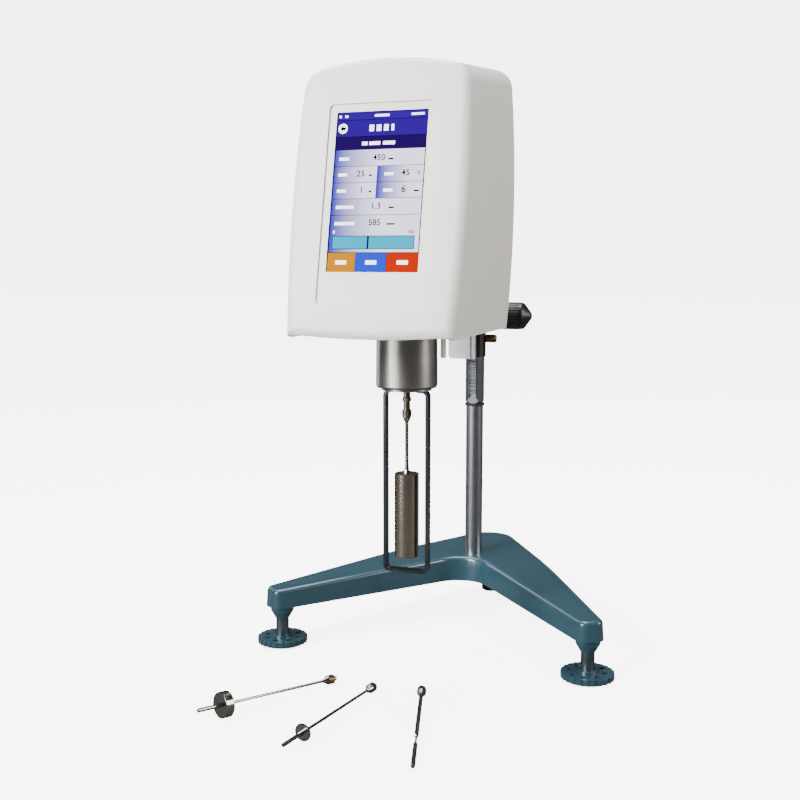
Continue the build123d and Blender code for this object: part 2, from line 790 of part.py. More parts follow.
with BuildPart() as level_vial:
    add(turned(
        0, level_y, (0, level_top - level_high + 1), (level_radius - 1.5, level_top - level_high + 1),
        (level_radius, level_top - level_high + 2.5), (level_radius, level_top - 0.6), (level_radius - 0.6, level_top),
        (0, level_top),
    ))
level_vial.part.label = "level_vial"
export_step(level_vial.part, "parts/level_vial.step")

# Touch screen: glass flush in the window, carried by a module pressed against the inside of the face
with BuildPart() as display_glass:
    with BuildSketch(face_plane.offset(-recess_deep - slip)):
        with Locations((0, up_face(screen_height))):
            Rectangle(screen_wide - 2 * slip, screen_high - 2 * slip)
    extrude(amount=-glass_thick)
display_glass.part.label = "display_glass"
export_step(display_glass.part, "parts/display_glass.step")

with BuildPart() as display_module:
    with BuildSketch(face_plane.offset(-shell_wall)):
        with Locations((0, up_face(screen_height))):
            Rectangle(screen_wide + 2 * module_margin, screen_high + 2 * module_margin)
    extrude(amount=-module_thick)
    with BuildSketch(face_plane.offset(-shell_wall)):
        with Locations((0, up_face(screen_height))):
            Rectangle(screen_wide - 2 * slip, screen_high - 2 * slip)
    extrude(amount=shell_wall - recess_deep - slip - glass_thick)
display_module.part.label = "display_module"
export_step(display_module.part, "parts/display_module.step")

# Cup under the head, with the ring and the U-shaped guard that hang from it
cup_floor = 3.0
cup_hole_radius = 4.5
cup_inner = cup_radius - cup_wall
with BuildPart() as cup:
    add(turned(
        0, 0, (cup_hole_radius, cup_bottom), (cup_neck_radius, cup_bottom), (cup_radius, cup_chamfer_top),
        (cup_top_radius, plate_top), (cup_top_radius - cup_wall, plate_top), (cup_inner, cup_chamfer_top + 1),
        (cup_inner - 3, cup_bottom + cup_floor), (cup_hole_radius, cup_bottom + cup_floor),
    ))
cup.part.label = "cup"
export_step(cup.part, "parts/cup.step")

ring_bottom = cup_bottom - guard_ring_thick
guard_bore = 6.0
foot_inner = 9.0
with BuildPart() as guard_ring:
    with BuildSketch(Plane.XY.offset(ring_bottom)):
        Circle(guard_ring_radius)
        Circle(guard_bore, mode=Mode.SUBTRACT)
    extrude(amount=guard_ring_thick)
guard_ring.part.label = "guard_ring"
export_step(guard_ring.part, "parts/guard_ring.step")

leg_out = guard_half + guard_bar_thick / 2
leg_in = guard_half - guard_bar_thick / 2
guard_low_in = guard_bottom + guard_bar_thick
foot_under = ring_bottom - guard_bar_thick
with BuildPart() as guard_bracket:
    with BuildSketch(Plane.XZ):
        with BuildLine():
            FilletPolyline(
                (-foot_inner, ring_bottom), (-leg_out, ring_bottom), (-leg_out, guard_bottom), (leg_out, guard_bottom),
                (leg_out, ring_bottom), (foot_inner, ring_bottom), radius=guard_corner + guard_bar_thick,
            )
            Line((foot_inner, ring_bottom), (foot_inner, foot_under))
            FilletPolyline(
                (foot_inner, foot_under), (leg_in, foot_under), (leg_in, guard_low_in), (-leg_in, guard_low_in),
                (-leg_in, foot_under), (-foot_inner, foot_under), radius=guard_corner,
            )
            Line((-foot_inner, foot_under), (-foot_inner, ring_bottom))
        make_face()
    extrude(amount=guard_bar_wide / 2, both=True)
guard_bracket.part.label = "guard_bracket"
export_step(guard_bracket.part, "parts/guard_bracket.step")

# Spindle coupling: a knurled stud on the torque shaft, a coupling nut and the spindle that hangs from it
stud_bore_top = stud_bottom + 2.5
shaft_bottom = 224.0
stud_top = 236.0
coupling_pin = loose_stub_radius
with BuildPart() as drive_stud:
    add(turned(
        0, 0, (coupling_pin + running, stud_bottom), (2.55, stud_bottom), (2.55, 218.8), (3.2, 219.2), (3.2, 221.6),
        (2.7, 222), (2.7, stud_top), (shaft_radius + running, stud_top), (shaft_radius + running, shaft_bottom),
        (0, shaft_bottom), (0, stud_bore_top), (coupling_pin + running, stud_bore_top),
    ))
drive_stud.part.label = "drive_stud"
export_step(drive_stud.part, "parts/drive_stud.step")

with BuildPart() as spindle_nut:
    with BuildSketch(Plane.XY.offset(nut_bottom)):
        Circle(spindle_nut_radius)
        Circle(coupling_pin + running, mode=Mode.SUBTRACT)
    extrude(amount=stud_bottom - nut_bottom)
spindle_nut.part.label = "spindle_nut"
export_step(spindle_nut.part, "parts/spindle_nut.step")

shoulder_radius = 3.2
shoulder_long = 4.6
with BuildPart() as spindle_1:
    add(turned(
        0, 0, (0, spindle_body_bottom), (spindle_body_radius - 0.4, spindle_body_bottom),
        (spindle_body_radius, spindle_body_bottom + 0.4), (spindle_body_radius, spindle_body_top - 0.4),
        (spindle_body_radius - 0.4, spindle_body_top), (2.6, spindle_body_top), (1.8, spindle_body_top + 2.5),
        (spindle_stem_radius, spindle_body_top + spindle_flare), (spindle_stem_radius, nut_bottom - shoulder_long),
        (shoulder_radius, nut_bottom), (coupling_pin, nut_bottom), (coupling_pin, stud_bore_top - slip),
        (0, stud_bore_top - slip),
    ))
spindle_1.part.label = "spindle_1"
export_step(spindle_1.part, "parts/spindle_1.step")

# Chassis: a bent plate that carries the bearing housing, the motor, the board and the support rod
chassis_base_top = plate_top + chassis_thick
chassis_wall_back = chassis_wall_y + chassis_thick
flange_radius = 14.0
flange_long = 8.0
board_back = chassis_wall_y - board_gap
with BuildPart() as chassis:
    with BuildSketch(Plane.YZ):
        Polygon(
            (chassis_front, plate_top), (chassis_wall_back, plate_top), (chassis_wall_back, chassis_top),
            (chassis_wall_y, chassis_top), (chassis_wall_y, chassis_base_top), (chassis_front, chassis_base_top),
            align=None,
        )
    extrude(amount=chassis_half, both=True)
    with BuildSketch(Plane.XY.offset(plate_top)):
        Circle(drive_tube_radius + 2)
    extrude(amount=chassis_thick, mode=Mode.SUBTRACT)
    with BuildSketch(Plane.XZ.offset(-chassis_wall_back)):
        with Locations((0, support_height)):
            Circle(flange_radius)
    extrude(amount=-flange_long)
    with BuildSketch(Plane.XZ.offset(-chassis_wall_y)):
        with GridLocations(board_wide - 8, board_high - board_low - 8, 2, 2):
            with Locations((0, (board_low + board_high) / 2)):
                Circle(2.5)
    extrude(amount=board_gap)
    with BuildSketch(Plane.XZ.offset(-chassis_wall_y)):
        with Locations((0, support_height)):
            Circle(support_radius + running)
    extrude(amount=-flange_long - chassis_thick, mode=Mode.SUBTRACT)
chassis.part.label = "chassis"
export_step(chassis.part, "parts/chassis.step")

chips = ((-14, 12, 16, 16), (16, 20, 10, 14), (12, -20, 20, 9), (-18, -24, 12, 12))
chip_thick = 2.0
with BuildPart() as main_board:
    with BuildSketch(Plane.XZ.offset(-board_back)):
        with Locations((0, (board_low + board_high) / 2)):
            Rectangle(board_wide, board_high - board_low)
    extrude(amount=board_thick)
    with BuildSketch(Plane.XZ.offset(-board_back + board_thick)):
        for x, over_middle, wide, tall in chips:
            with Locations((x, (board_low + board_high) / 2 + over_middle)):
                Rectangle(wide, tall)
    extrude(amount=chip_thick)
main_board.part.label = "main_board"
export_step(main_board.part, "parts/main_board.step")

with BuildPart() as spindle_housing:
    add(turned(
        0, 0, (bearing_radius + running, chassis_base_top), (20, chassis_base_top), (20, chassis_base_top + 2),
        (housing_radius, chassis_base_top + 2), (housing_radius, housing_top), (bearing_radius + running, housing_top),
        (bearing_radius + running, housing_top - bearing_high), (bearing_radius - 1, housing_top - bearing_high),
        (bearing_radius - 1, chassis_base_top + bearing_high), (bearing_radius + running, chassis_base_top + bearing_high),
    ))
spindle_housing.part.label = "spindle_housing"
export_step(spindle_housing.part, "parts/spindle_housing.step")

with BuildPart() as spindle_bearings:
    for bottom in (chassis_base_top, housing_top - bearing_high):
        with BuildSketch(Plane.XY.offset(bottom)):
            Circle(bearing_radius)
            Circle(drive_tube_radius + running, mode=Mode.SUBTRACT)
        extrude(amount=bearing_high)
spindle_bearings.part.label = "spindle_bearings"
export_step(spindle_bearings.part, "parts/spindle_bearings.step")

# Drive: motor, gears and the tube that turns round the torque shaft
tube_bore = shaft_radius + running
collar_bottom = chassis_base_top + bearing_high + slip
with BuildPart() as drive_tube:
    add(turned(
        0, 0, (tube_bore, chassis_base_top - 1), (drive_tube_radius, chassis_base_top - 1),
        (drive_tube_radius, collar_bottom), (drive_tube_radius + 1.5, collar_bottom),
        (drive_tube_radius + 1.5, collar_bottom + 2), (drive_tube_radius, collar_bottom + 2),
        (drive_tube_radius, gear_height - 3), (drive_tube_radius + 2, gear_height - 3),
        (drive_tube_radius + 2, gear_height), (drive_tube_radius, gear_height),
        (drive_tube_radius, drive_disc_height + disc_thick), (tube_bore, drive_disc_height + disc_thick),
        (tube_bore, drive_disc_height - 8), (tube_bore + 0.7, drive_disc_height - 8),
        (tube_bore + 0.7, chassis_base_top + 8), (tube_bore, chassis_base_top + 8),
    ))
drive_tube.part.label = "drive_tube"
export_step(drive_tube.part, "parts/drive_tube.step")

gear_distance = tooth_module * (gear_teeth + motor_teeth) / 2 + slip
motor_shaft_radius = 1.5
with BuildPart() as drive_gear:
    with BuildSketch(Plane.XY.offset(gear_height)):
        Polygon(*tooth_ring(gear_teeth, 0), align=None)
        Circle(drive_tube_radius + running, mode=Mode.SUBTRACT)
    extrude(amount=gear_thick)
drive_gear.part.label = "drive_gear"
export_step(drive_gear.part, "parts/drive_gear.step")

with BuildPart() as motor_pinion:
    with BuildSketch(Plane.XY.offset(gear_height - 1)):
        with Locations(Location((gear_distance, 0, 0))):
            Polygon(*tooth_ring(motor_teeth, 180 - 180 / motor_teeth), align=None)
    extrude(amount=gear_thick + 2)
    with BuildSketch(Plane.XY.offset(gear_height - 1)):
        with Locations((gear_distance, 0)):
            Circle(motor_shaft_radius)
    extrude(amount=motor_plate_height + 12 - gear_height)
motor_pinion.part.label = "motor_pinion"
export_step(motor_pinion.part, "parts/motor_pinion.step")

motor_seat = motor_plate_height + chassis_thick
with BuildPart() as motor:
    add(turned(
        gear_distance, 0, (motor_shaft_radius + running, motor_seat), (motor_radius, motor_seat),
        (motor_radius, motor_seat + motor_high - 1), (motor_radius - 1, motor_seat + motor_high),
        (0, motor_seat + motor_high), (0, motor_seat + 10), (motor_shaft_radius + running, motor_seat + 10),
    ))
motor.part.label = "motor"
export_step(motor.part, "parts/motor.step")

bracket_shift = 2.0
bracket_wide = 31.0
bracket_long = 46.0
bracket_round = 4.0
post_radius = 3.0
post_y = 18.0
post_x = 13.0
with BuildPart() as motor_bracket:
    with BuildSketch(Plane.XY.offset(motor_plate_height)):
        with Locations((gear_distance + bracket_shift, 0)):
            RectangleRounded(bracket_wide, bracket_long, bracket_round)
        with Locations((gear_distance, 0)):
            Circle(motor_shaft_radius + 2, mode=Mode.SUBTRACT)
    extrude(amount=chassis_thick)
    with BuildSketch(Plane.XY.offset(chassis_base_top)):
        with Locations((gear_distance, post_y), (gear_distance, -post_y), (gear_distance + post_x, 0)):
            Circle(post_radius)
    extrude(amount=motor_plate_height - chassis_base_top)
motor_bracket.part.label = "motor_bracket"
export_step(motor_bracket.part, "parts/motor_bracket.step")

# Torque measurement: a hairspring between the drive disc on the tube and the disc on the shaft
spring_post_radius = 0.6
spring_post_x = spring_radius + spring_thick / 2 + seat_gap + spring_post_radius
hub_radius = shaft_radius + 0.55
with BuildPart() as drive_disc:
    with BuildSketch(Plane.XY.offset(drive_disc_height)):
        Circle(disc_radius)
        Circle(drive_tube_radius + running, mode=Mode.SUBTRACT)
    extrude(amount=disc_thick)
    with BuildSketch(Plane.XY.offset(drive_disc_height)):
        with Locations((-spring_post_x, 0)):
            Circle(spring_post_radius)
    extrude(amount=spring_height + spring_wide - drive_disc_height)
drive_disc.part.label = "drive_disc"
export_step(drive_disc.part, "parts/drive_disc.step")

with BuildPart() as spindle_shaft:
    add(turned(
        0, 0, (0, shaft_bottom), (shaft_radius, shaft_bottom), (shaft_radius, spindle_disc_height + disc_thick + 2),
        (0, spindle_disc_height + disc_thick + 3),
    ))
spindle_shaft.part.label = "spindle_shaft"
export_step(spindle_shaft.part, "parts/spindle_shaft.step")

with BuildPart() as spindle_disc:
    add(turned(
        0, 0, (shaft_radius + running, spring_height), (hub_radius, spring_height), (hub_radius, spindle_disc_height),
        (disc_radius, spindle_disc_height), (disc_radius, spindle_disc_height + disc_thick),
        (shaft_radius + running, spindle_disc_height + disc_thick),
    ))
    with BuildSketch(Plane.XY.offset(spindle_disc_height)):
        with PolarLocations(disc_radius, 2):
            Circle(1.2)
    extrude(amount=disc_thick, mode=Mode.SUBTRACT)
spindle_disc.part.label = "spindle_disc"
export_step(spindle_disc.part, "parts/spindle_disc.step")

with BuildPart() as hairspring:
    centre = 0
    for turn in range(spring_half_turns):
        radius = spring_radius - turn * spring_pitch
        upper = 1 if turn % 2 == 0 else -1
        with BuildSketch(Plane.XY.offset(spring_height)):
            with Locations((centre, 0)):
                Circle(radius + spring_thick / 2)
                Circle(radius - spring_thick / 2, mode=Mode.SUBTRACT)
            with Locations((centre, -upper * radius)):
                Rectangle(3 * radius, 2 * radius, mode=Mode.SUBTRACT)
        extrude(amount=spring_wide)
        centre += upper * spring_pitch
hairspring.part.label = "hairspring"
export_step(hairspring.part, "parts/hairspring.step")

# Rocker switch and sockets in the rear panel
switch_wall = 1.6
switch_deep = 12.0
bezel_lip = 1.5
bezel_wide = 2.0
rocker_y = panel_back - 1.0
rocker_half_tall = switch_tall / 2 - switch_wall - 0.9
rocker_half_wide = switch_wide / 2 - switch_wall - 0.3
pivot_radius = 1.0
rocker_tilt = 9.0
with BuildPart() as switch_housing:
    with BuildSketch(Plane.XZ.offset(-panel_back)):
        with Locations((switch_x, switch_height)):
            RectangleRounded(switch_wide + 2 * bezel_wide, switch_tall + 2 * bezel_wide, 1.5)
    extrude(amount=-bezel_lip)
    with BuildSketch(Plane.XZ.offset(-panel_back)):
        with Locations((switch_x, switch_height)):
            Rectangle(switch_wide, switch_tall)
    extrude(amount=switch_deep)
    with BuildSketch(Plane.XZ.offset(-panel_back - bezel_lip)):
        with Locations((switch_x, switch_height)):
            Rectangle(switch_wide - 2 * switch_wall, switch_tall - 2 * switch_wall)
    extrude(amount=switch_deep + bezel_lip - switch_wall, mode=Mode.SUBTRACT)
    with BuildSketch(Plane.YZ.offset(switch_x)):
        with Locations((rocker_y, switch_height)):
            Circle(pivot_radius + running)
    extrude(amount=switch_wide / 2 - 0.4, both=True, mode=Mode.SUBTRACT)
switch_housing.part.label = "switch_housing"
export_step(switch_housing.part, "parts/switch_housing.step")

with BuildPart() as switch_rocker:
    with BuildSketch(Plane.YZ.offset(switch_x)):
        with Locations(Location((rocker_y, switch_height, 0), (0, 0, rocker_tilt))):
            Polygon(
                (3.4, rocker_half_tall), (2.2, 0), (3.4, -rocker_half_tall), (0.6, -rocker_half_tall), (-4, -1.5),
                (-4, 1.5), (0.6, rocker_half_tall), align=None,
            )
    extrude(amount=rocker_half_wide, both=True)
    with BuildSketch(Plane.YZ.offset(switch_x)):
        with Locations((rocker_y, switch_height)):
            Circle(pivot_radius)
    extrude(amount=switch_wide / 2 - 0.6, both=True)
switch_rocker.part.label = "switch_rocker"
export_step(switch_rocker.part, "parts/switch_rocker.step")

inlet_axis = Plane(origin=(inlet_x, panel_back, inlet_height), x_dir=(1, 0, 0), z_dir=(0, 1, 0))
with BuildPart() as power_inlet:
    add(turned_along(
        inlet_axis, (0, -10), (inlet_radius, -10), (inlet_radius, 0), (inlet_radius + 1.5, 0), (inlet_radius + 1.5, 1.5),
        (3, 1.5), (3, -7), (0, -7),
    ))
power_inlet.part.label = "power_inlet"
export_step(power_inlet.part, "parts/power_inlet.step")

with BuildPart() as data_port:
    with BuildSketch(Plane.XZ.offset(-panel_back - 0.6)):
        with Locations((port_x, port_height)):
            Rectangle(port_wide, port_tall)
    extrude(amount=12)
    with BuildSketch(Plane.XZ.offset(-panel_back - 0.6)):
        with Locations((port_x, port_height)):
            Rectangle(port_wide - 4, port_tall - 4)
    extrude(amount=9, mode=Mode.SUBTRACT)
data_port.part.label = "data_port"
export_step(data_port.part, "parts/data_port.step")


# Spare spindles lying on the bench: coupling pin first, then nut, shoulder, stem and measuring body
def lying(coupling_end, tip, nut_rest, tip_rest):
    """The axis of a spindle on the bench, from its coupling end, propped by its nut and its body."""
    run = ((tip[0] - coupling_end[0]) ** 2 + (tip[1] - coupling_end[1]) ** 2) ** 0.5
    nut_middle = (loose_nut_start + loose_nut_end) / 2
    slope = (tip_rest[1] - nut_rest) / (tip_rest[0] - nut_middle)
    start = (coupling_end[0], coupling_end[1], nut_rest - slope * nut_middle + loose_rise)
    direction = ((tip[0] - coupling_end[0]) / run, (tip[1] - coupling_end[1]) / run, slope)
    return Plane(origin=start, x_dir=(direction[1], -direction[0], 0), z_dir=direction)


def spare(axis, stem, *body):
    """A spare spindle's turned profile: pin, shoulder and stem, then its own measuring body."""
    return turned_along(
        axis, (0, 0), (loose_stub_radius, 0), (loose_stub_radius, loose_nut_end), (shoulder_radius, loose_nut_end),
        (stem, loose_shoulder_end), *body,
    )


disc_r = 9.36
disc_half = 3.43
disc_middle = 101.0
small_disc_r = 6.35
small_disc_half = 0.8
small_disc_middle = 102.8
stem_radius = 1.1
disc_tip_radius = 1.55
disc_tip_end = 122.7
small_tip_radius = 1.45
small_tip_end = 128.0
needle_r = 1.55
needle_neck_r = 0.75
needle_neck_start = 82.2
needle_neck_end = 95.0
needle_end = 127.0
tip_bevel = 0.5
spare_2_ends = ((-52.2, -16.3), (-113.1, -122.8))
spare_3_ends = ((-18.3, -20.9), (-36.3, -147.6))
spare_4_ends = ((17.3, -15.1), (50.4, -137.7))
spare_2_axis = lying(*spare_2_ends, spindle_nut_radius, (disc_middle, disc_r))
spare_3_axis = lying(*spare_3_ends, spindle_nut_radius, (small_disc_middle, small_disc_r))
spare_4_axis = lying(*spare_4_ends, spindle_nut_radius, (needle_end, needle_r))

with BuildPart() as spindle_2:
    add(spare(
        spare_2_axis, stem_radius, (stem_radius, disc_middle - disc_half), (disc_r - 0.3, disc_middle - disc_half),
        (disc_r, disc_middle - disc_half + 0.3), (disc_r, disc_middle + disc_half - 0.3),
        (disc_r - 0.3, disc_middle + disc_half), (disc_tip_radius, disc_middle + disc_half),
        (disc_tip_radius, disc_tip_end - tip_bevel), (disc_tip_radius - tip_bevel, disc_tip_end), (0, disc_tip_end),
    ))
spindle_2.part.label = "spindle_2"
export_step(spindle_2.part, "parts/spindle_2.step")

with BuildPart() as spindle_3:
    add(spare(
        spare_3_axis, stem_radius, (stem_radius, small_disc_middle - small_disc_half),
        (small_disc_r - small_disc_half, small_disc_middle - small_disc_half), (small_disc_r, small_disc_middle),
        (small_disc_r - small_disc_half, small_disc_middle + small_disc_half),
        (small_tip_radius, small_disc_middle + small_disc_half), (small_tip_radius, small_tip_end - tip_bevel),
        (small_tip_radius - tip_bevel, small_tip_end), (0, small_tip_end),
    ))
spindle_3.part.label = "spindle_3"
export_step(spindle_3.part, "parts/spindle_3.step")

with BuildPart() as spindle_4:
    add(spare(
        spare_4_axis, needle_r, (needle_r, needle_neck_start), (needle_neck_r, needle_neck_start + 0.6),
        (needle_neck_r, needle_neck_end - 0.6), (needle_r, needle_neck_end), (needle_r, needle_end - tip_bevel),
        (needle_r - tip_bevel, needle_end), (0, needle_end),
    ))
spindle_4.part.label = "spindle_4"
export_step(spindle_4.part, "parts/spindle_4.step")

for number, axis in ((2, spare_2_axis), (3, spare_3_axis), (4, spare_4_axis)):
    with BuildPart() as spare_nut:
        add(turned_along(
            axis, (loose_stub_radius + running, loose_nut_start), (spindle_nut_radius, loose_nut_start),
            (spindle_nut_radius, loose_nut_end), (loose_stub_radius + running, loose_nut_end),
        ))
    spare_nut.part.label = "spindle_nut_" + str(number)
    export_step(spare_nut.part, "parts/spindle_nut_" + str(number) + ".step")
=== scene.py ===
import json
import math

import bmesh
import bpy
from mathutils import Matrix, Vector

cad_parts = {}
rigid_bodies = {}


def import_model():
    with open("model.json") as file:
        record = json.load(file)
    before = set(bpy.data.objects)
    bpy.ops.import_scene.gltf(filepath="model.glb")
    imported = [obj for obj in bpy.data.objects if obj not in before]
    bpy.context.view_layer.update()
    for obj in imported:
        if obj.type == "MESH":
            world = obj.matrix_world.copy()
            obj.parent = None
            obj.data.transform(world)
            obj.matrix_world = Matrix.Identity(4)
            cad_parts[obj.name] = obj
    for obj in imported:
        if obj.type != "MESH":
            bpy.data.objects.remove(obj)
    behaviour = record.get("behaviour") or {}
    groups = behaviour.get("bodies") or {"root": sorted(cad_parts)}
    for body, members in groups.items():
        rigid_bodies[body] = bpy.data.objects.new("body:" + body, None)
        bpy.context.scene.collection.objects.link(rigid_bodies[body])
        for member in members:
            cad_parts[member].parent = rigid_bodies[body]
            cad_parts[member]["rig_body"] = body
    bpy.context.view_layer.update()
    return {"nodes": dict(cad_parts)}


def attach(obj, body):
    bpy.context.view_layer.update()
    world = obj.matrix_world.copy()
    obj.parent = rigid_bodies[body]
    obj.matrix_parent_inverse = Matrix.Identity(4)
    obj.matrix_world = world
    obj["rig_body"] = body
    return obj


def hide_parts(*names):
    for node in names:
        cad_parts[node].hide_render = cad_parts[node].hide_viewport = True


bl_info = {
    "name": "Bench viscometer",
    "version": (1, 0, 0),
    "blender": (4, 5, 0),
    "location": "View3D > Sidebar > Viscometer",
    "description": "Dresses a rotational viscometer on a rack stand and sets its studio",
    "category": "Object",
}

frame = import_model()

MM = 0.001

# Head: the leaning face, its screen and the rear panel, in millimetres
FACE_FOOT = Vector((0.0, -87.7, 268.0))
FACE_SLOPE = 0.2195
LEAN = math.atan(FACE_SLOPE)
FACE_UP = Vector((0.0, math.sin(LEAN), math.cos(LEAN)))
FACE_OUT = Vector((0.0, -math.cos(LEAN), math.sin(LEAN)))
SCREEN_MIDDLE = 369.9
SCREEN_WIDE = 65.8
SCREEN_HIGH = 111.2
GLASS_FRONT = -1.3
FIRST_LIFT = 0.04
LAYER_STEP = 0.02
PANEL_SCREWS = ((53.0, 284.0), (55.5, 428.0))
SCREW_TOP = 71.43
# Thin black hexagon painted as the shade in each screw's socket, in metres
SOCKET_SHADE_SIZE = (0.0026, 0.0026, 0.0001)

# Cup and the seal under its edge: radius and height, in millimetres
CUP_PROFILE = ((4.5, 230.4), (22.3, 230.4), (23.0, 231.1), (22.95, 236.0), (22.6, 274.0), (20.4, 274.0),
               (20.8, 235.5), (17.8, 233.0), (4.5, 233.0))
SEAL_PROFILE = ((20, 229.8), (22.3, 229.8), (22.3, 230.4), (20, 230.4))
CUP_STEPS = 96

# Knurls and flutes: middles in millimetres, reaches and sizes of one ridge in metres
KNURL_SIDES = 6
STUD_KNURL = {"place": (0, 0, 220.4), "reach": 0.0031}
NUT_KNURL = {"place": (0, 0, 209.8), "reach": 0.0034}
COUPLING_RIDGE = (0.00045, 0.00045, 0.0026)
SPARE_RIDGE = (0.00045, 0.00045, 0.0046)
SPARE_KNURLS = 22
SPARE_REACH = 0.0033
KNOB_MIDDLE = (34.5, 182.1, 274.8)
KNOB_FLUTES = 30
FLUTE_SIDES = 8
FLUTE_REACH = 0.01155
FLUTE_SIZE = (0.0009, 0.0009, 0.020)

# Spare spindles on the bench: the nut's outer end and the tip, in millimetres
SPARE_NUT_MIDDLE = 5.6
SPARE_ENDS = {
    "2": (Vector((-52.2, -16.3, 3.41)), Vector((-113.1, -122.8, 10.94))),
    "3": (Vector((-18.3, -20.9, 3.59)), Vector((-36.3, -147.6, 7.34))),
    "4": (Vector((17.3, -15.1, 3.84)), Vector((50.4, -137.7, 1.8))),
}

# Smoothing: the angle in degrees under which facets look round, and what is merged, in metres
SOFT_ANGLE = 32.0
MERGE_GAP = 2e-6
SLIVER = 1e-6

# Studio, in metres and degrees: what gloss mirrors and what scattered light sees of the floor and room
FLOOR_REACH = 9.0
FLOOR_MIRRORED = (0.075, 0.075, 0.075, 1)
FLOOR_SCATTERED = (0.2, 0.2, 0.2, 1)
ROOM_MIRRORED = (0.085, 0.084, 0.086, 1)
ROOM_SCATTERED = (0.40, 0.39, 0.38, 1)
# Lights: place, aim, size, share of the set key power, colour and spread, which is open at 180
WHITE = (1, 1, 1)
WARM = (1, 0.94, 0.90)
OPEN = 180
LIGHTS = {
    "key": ((-1.0, -1.6, 1.05), (0, 0, 0.42), (0.8, 0.8), 0.13, WHITE, 46),
    "front": ((-0.8, -1.7, 1.3), (0, 0, 0.3), (1.1, 1.1), 0.1, WHITE, OPEN),
    "fill": ((1.7, 0.1, 0.8), (0, 0, 0.38), (0.6, 0.9), 0.34, WARM, OPEN),
    "top": ((-0.2, 0.25, 1.8), (0, 0.05, 0.2), (1.4, 1.4), 0.9, WHITE, OPEN),
    "strip": ((-0.95, -1.07, 0.22), (0, 0, 0.24), (0.18, 1.0), 0.13, WHITE, OPEN),
    "band": ((-0.62, -1.3, 0.16), (0, 0, 0.16), (0.1, 0.5), 0.03, WHITE, OPEN),
    "edge": ((-1.3, 0.7, 0.6), (0, 0, 0.2), (0.25, 1.2), 0.06, WHITE, OPEN),
}
CAMERA_PLACE = (0.2623, -0.7818, 0.3225)
CAMERA_TILT = 82.9
CAMERA_TURN = 18.9
CAMERA_LENS = 50.12
CAMERA_SENSOR = 36

# Places of a colour Mix node's sockets, which share their names with its sockets for plain numbers
MIX_FACTOR = 0
MIX_LOW = 6
MIX_HIGH = 7
MIX_RESULT = 2


def lit(red, green, blue):
    """A glowing colour, given as the 0 to 255 values that the display should show, through its view curve."""
    low, rise = 0.0095, 6
    return (*(low * math.exp(rise * value / 255) - low for value in (red, green, blue)), 1.0)


def sheen(red, green, blue):
    """A colour given as 0 to 255 display values, turned to the renderer's linear values."""
    linear = []
    for value in (red, green, blue):
        value /= 255
        linear.append(value / 12.92 if value <= 0.04045 else ((value + 0.055) / 1.055) ** 2.4)
    return (*linear, 1.0)


class ShellSettings(bpy.types.PropertyGroup):
    colour: bpy.props.FloatVectorProperty(
        name="Shell colour", description="Paint of the moulded head", subtype="COLOR", size=4,
        min=0, max=1, default=sheen(226, 225, 221))
    grain: bpy.props.FloatProperty(
        name="Grain", description="Size of the fine texture on the shell", subtype="DISTANCE",
        default=0.0006, min=0.0001)
    vent_colour: bpy.props.FloatVectorProperty(
        name="Rear panel colour", description="Powder coat of the rear panel", subtype="COLOR", size=4,
        min=0, max=1, default=sheen(196, 195, 190))


class StandSettings(bpy.types.PropertyGroup):
    colour: bpy.props.FloatVectorProperty(
        name="Stand colour", description="Gloss paint of the cast base and the foot wheels", subtype="COLOR",
        size=4, min=0, max=1, default=sheen(35, 65, 77))
    steel: bpy.props.FloatVectorProperty(
        name="Rod steel", description="Ground steel of the column, its rack and the support rod",
        subtype="COLOR", size=4, min=0, max=1, default=sheen(150, 153, 160))


class DriveSettings(bpy.types.PropertyGroup):
    cup: bpy.props.FloatVectorProperty(
        name="Cup steel", description="Brushed steel of the cup under the head", subtype="COLOR", size=4,
        min=0, max=1, default=sheen(186, 184, 178))
    spindle: bpy.props.FloatVectorProperty(
        name="Spindle steel", description="Turned steel of the measuring spindle", subtype="COLOR", size=4,
        min=0, max=1, default=sheen(196, 182, 166))
    knurls: bpy.props.IntProperty(
        name="Knurls", description="Ridges round the coupling stud and its nut", default=26, min=8, max=60)


class ScreenSettings(bpy.types.PropertyGroup):
    brightness: bpy.props.FloatProperty(
        name="Brightness", description="Strength of the lit display", default=1.0, min=0, max=5)


class StudioSettings(bpy.types.PropertyGroup):
    floor: bpy.props.FloatVectorProperty(
        name="Floor", description="Colour of the plain floor", subtype="COLOR", size=4,
        min=0, max=1, default=(0.86, 0.86, 0.86, 1.0))
    key: bpy.props.FloatProperty(
        name="Key light", description="Power of the large soft light", subtype="POWER", default=64.0, min=0)
    backdrop: bpy.props.FloatProperty(
        name="Backdrop", description="Brightness of the plain background as the camera sees it",
        default=5.5, min=0)


# Shader node groups, each built once
def new_group(name, inputs, outputs):
    """An empty shader group with named sockets, and its two end nodes."""
    tree = bpy.data.node_groups.new(name, "ShaderNodeTree")
    for label, kind, default in inputs:
        socket = tree.interface.new_socket(name=label, in_out="INPUT", socket_type=kind)
        if default is not None:
            socket.default_value = default
    for label, kind in outputs:
        tree.interface.new_socket(name=label, in_out="OUTPUT", socket_type=kind)
    return tree, tree.nodes.new("NodeGroupInput"), tree.nodes.new("NodeGroupOutput")


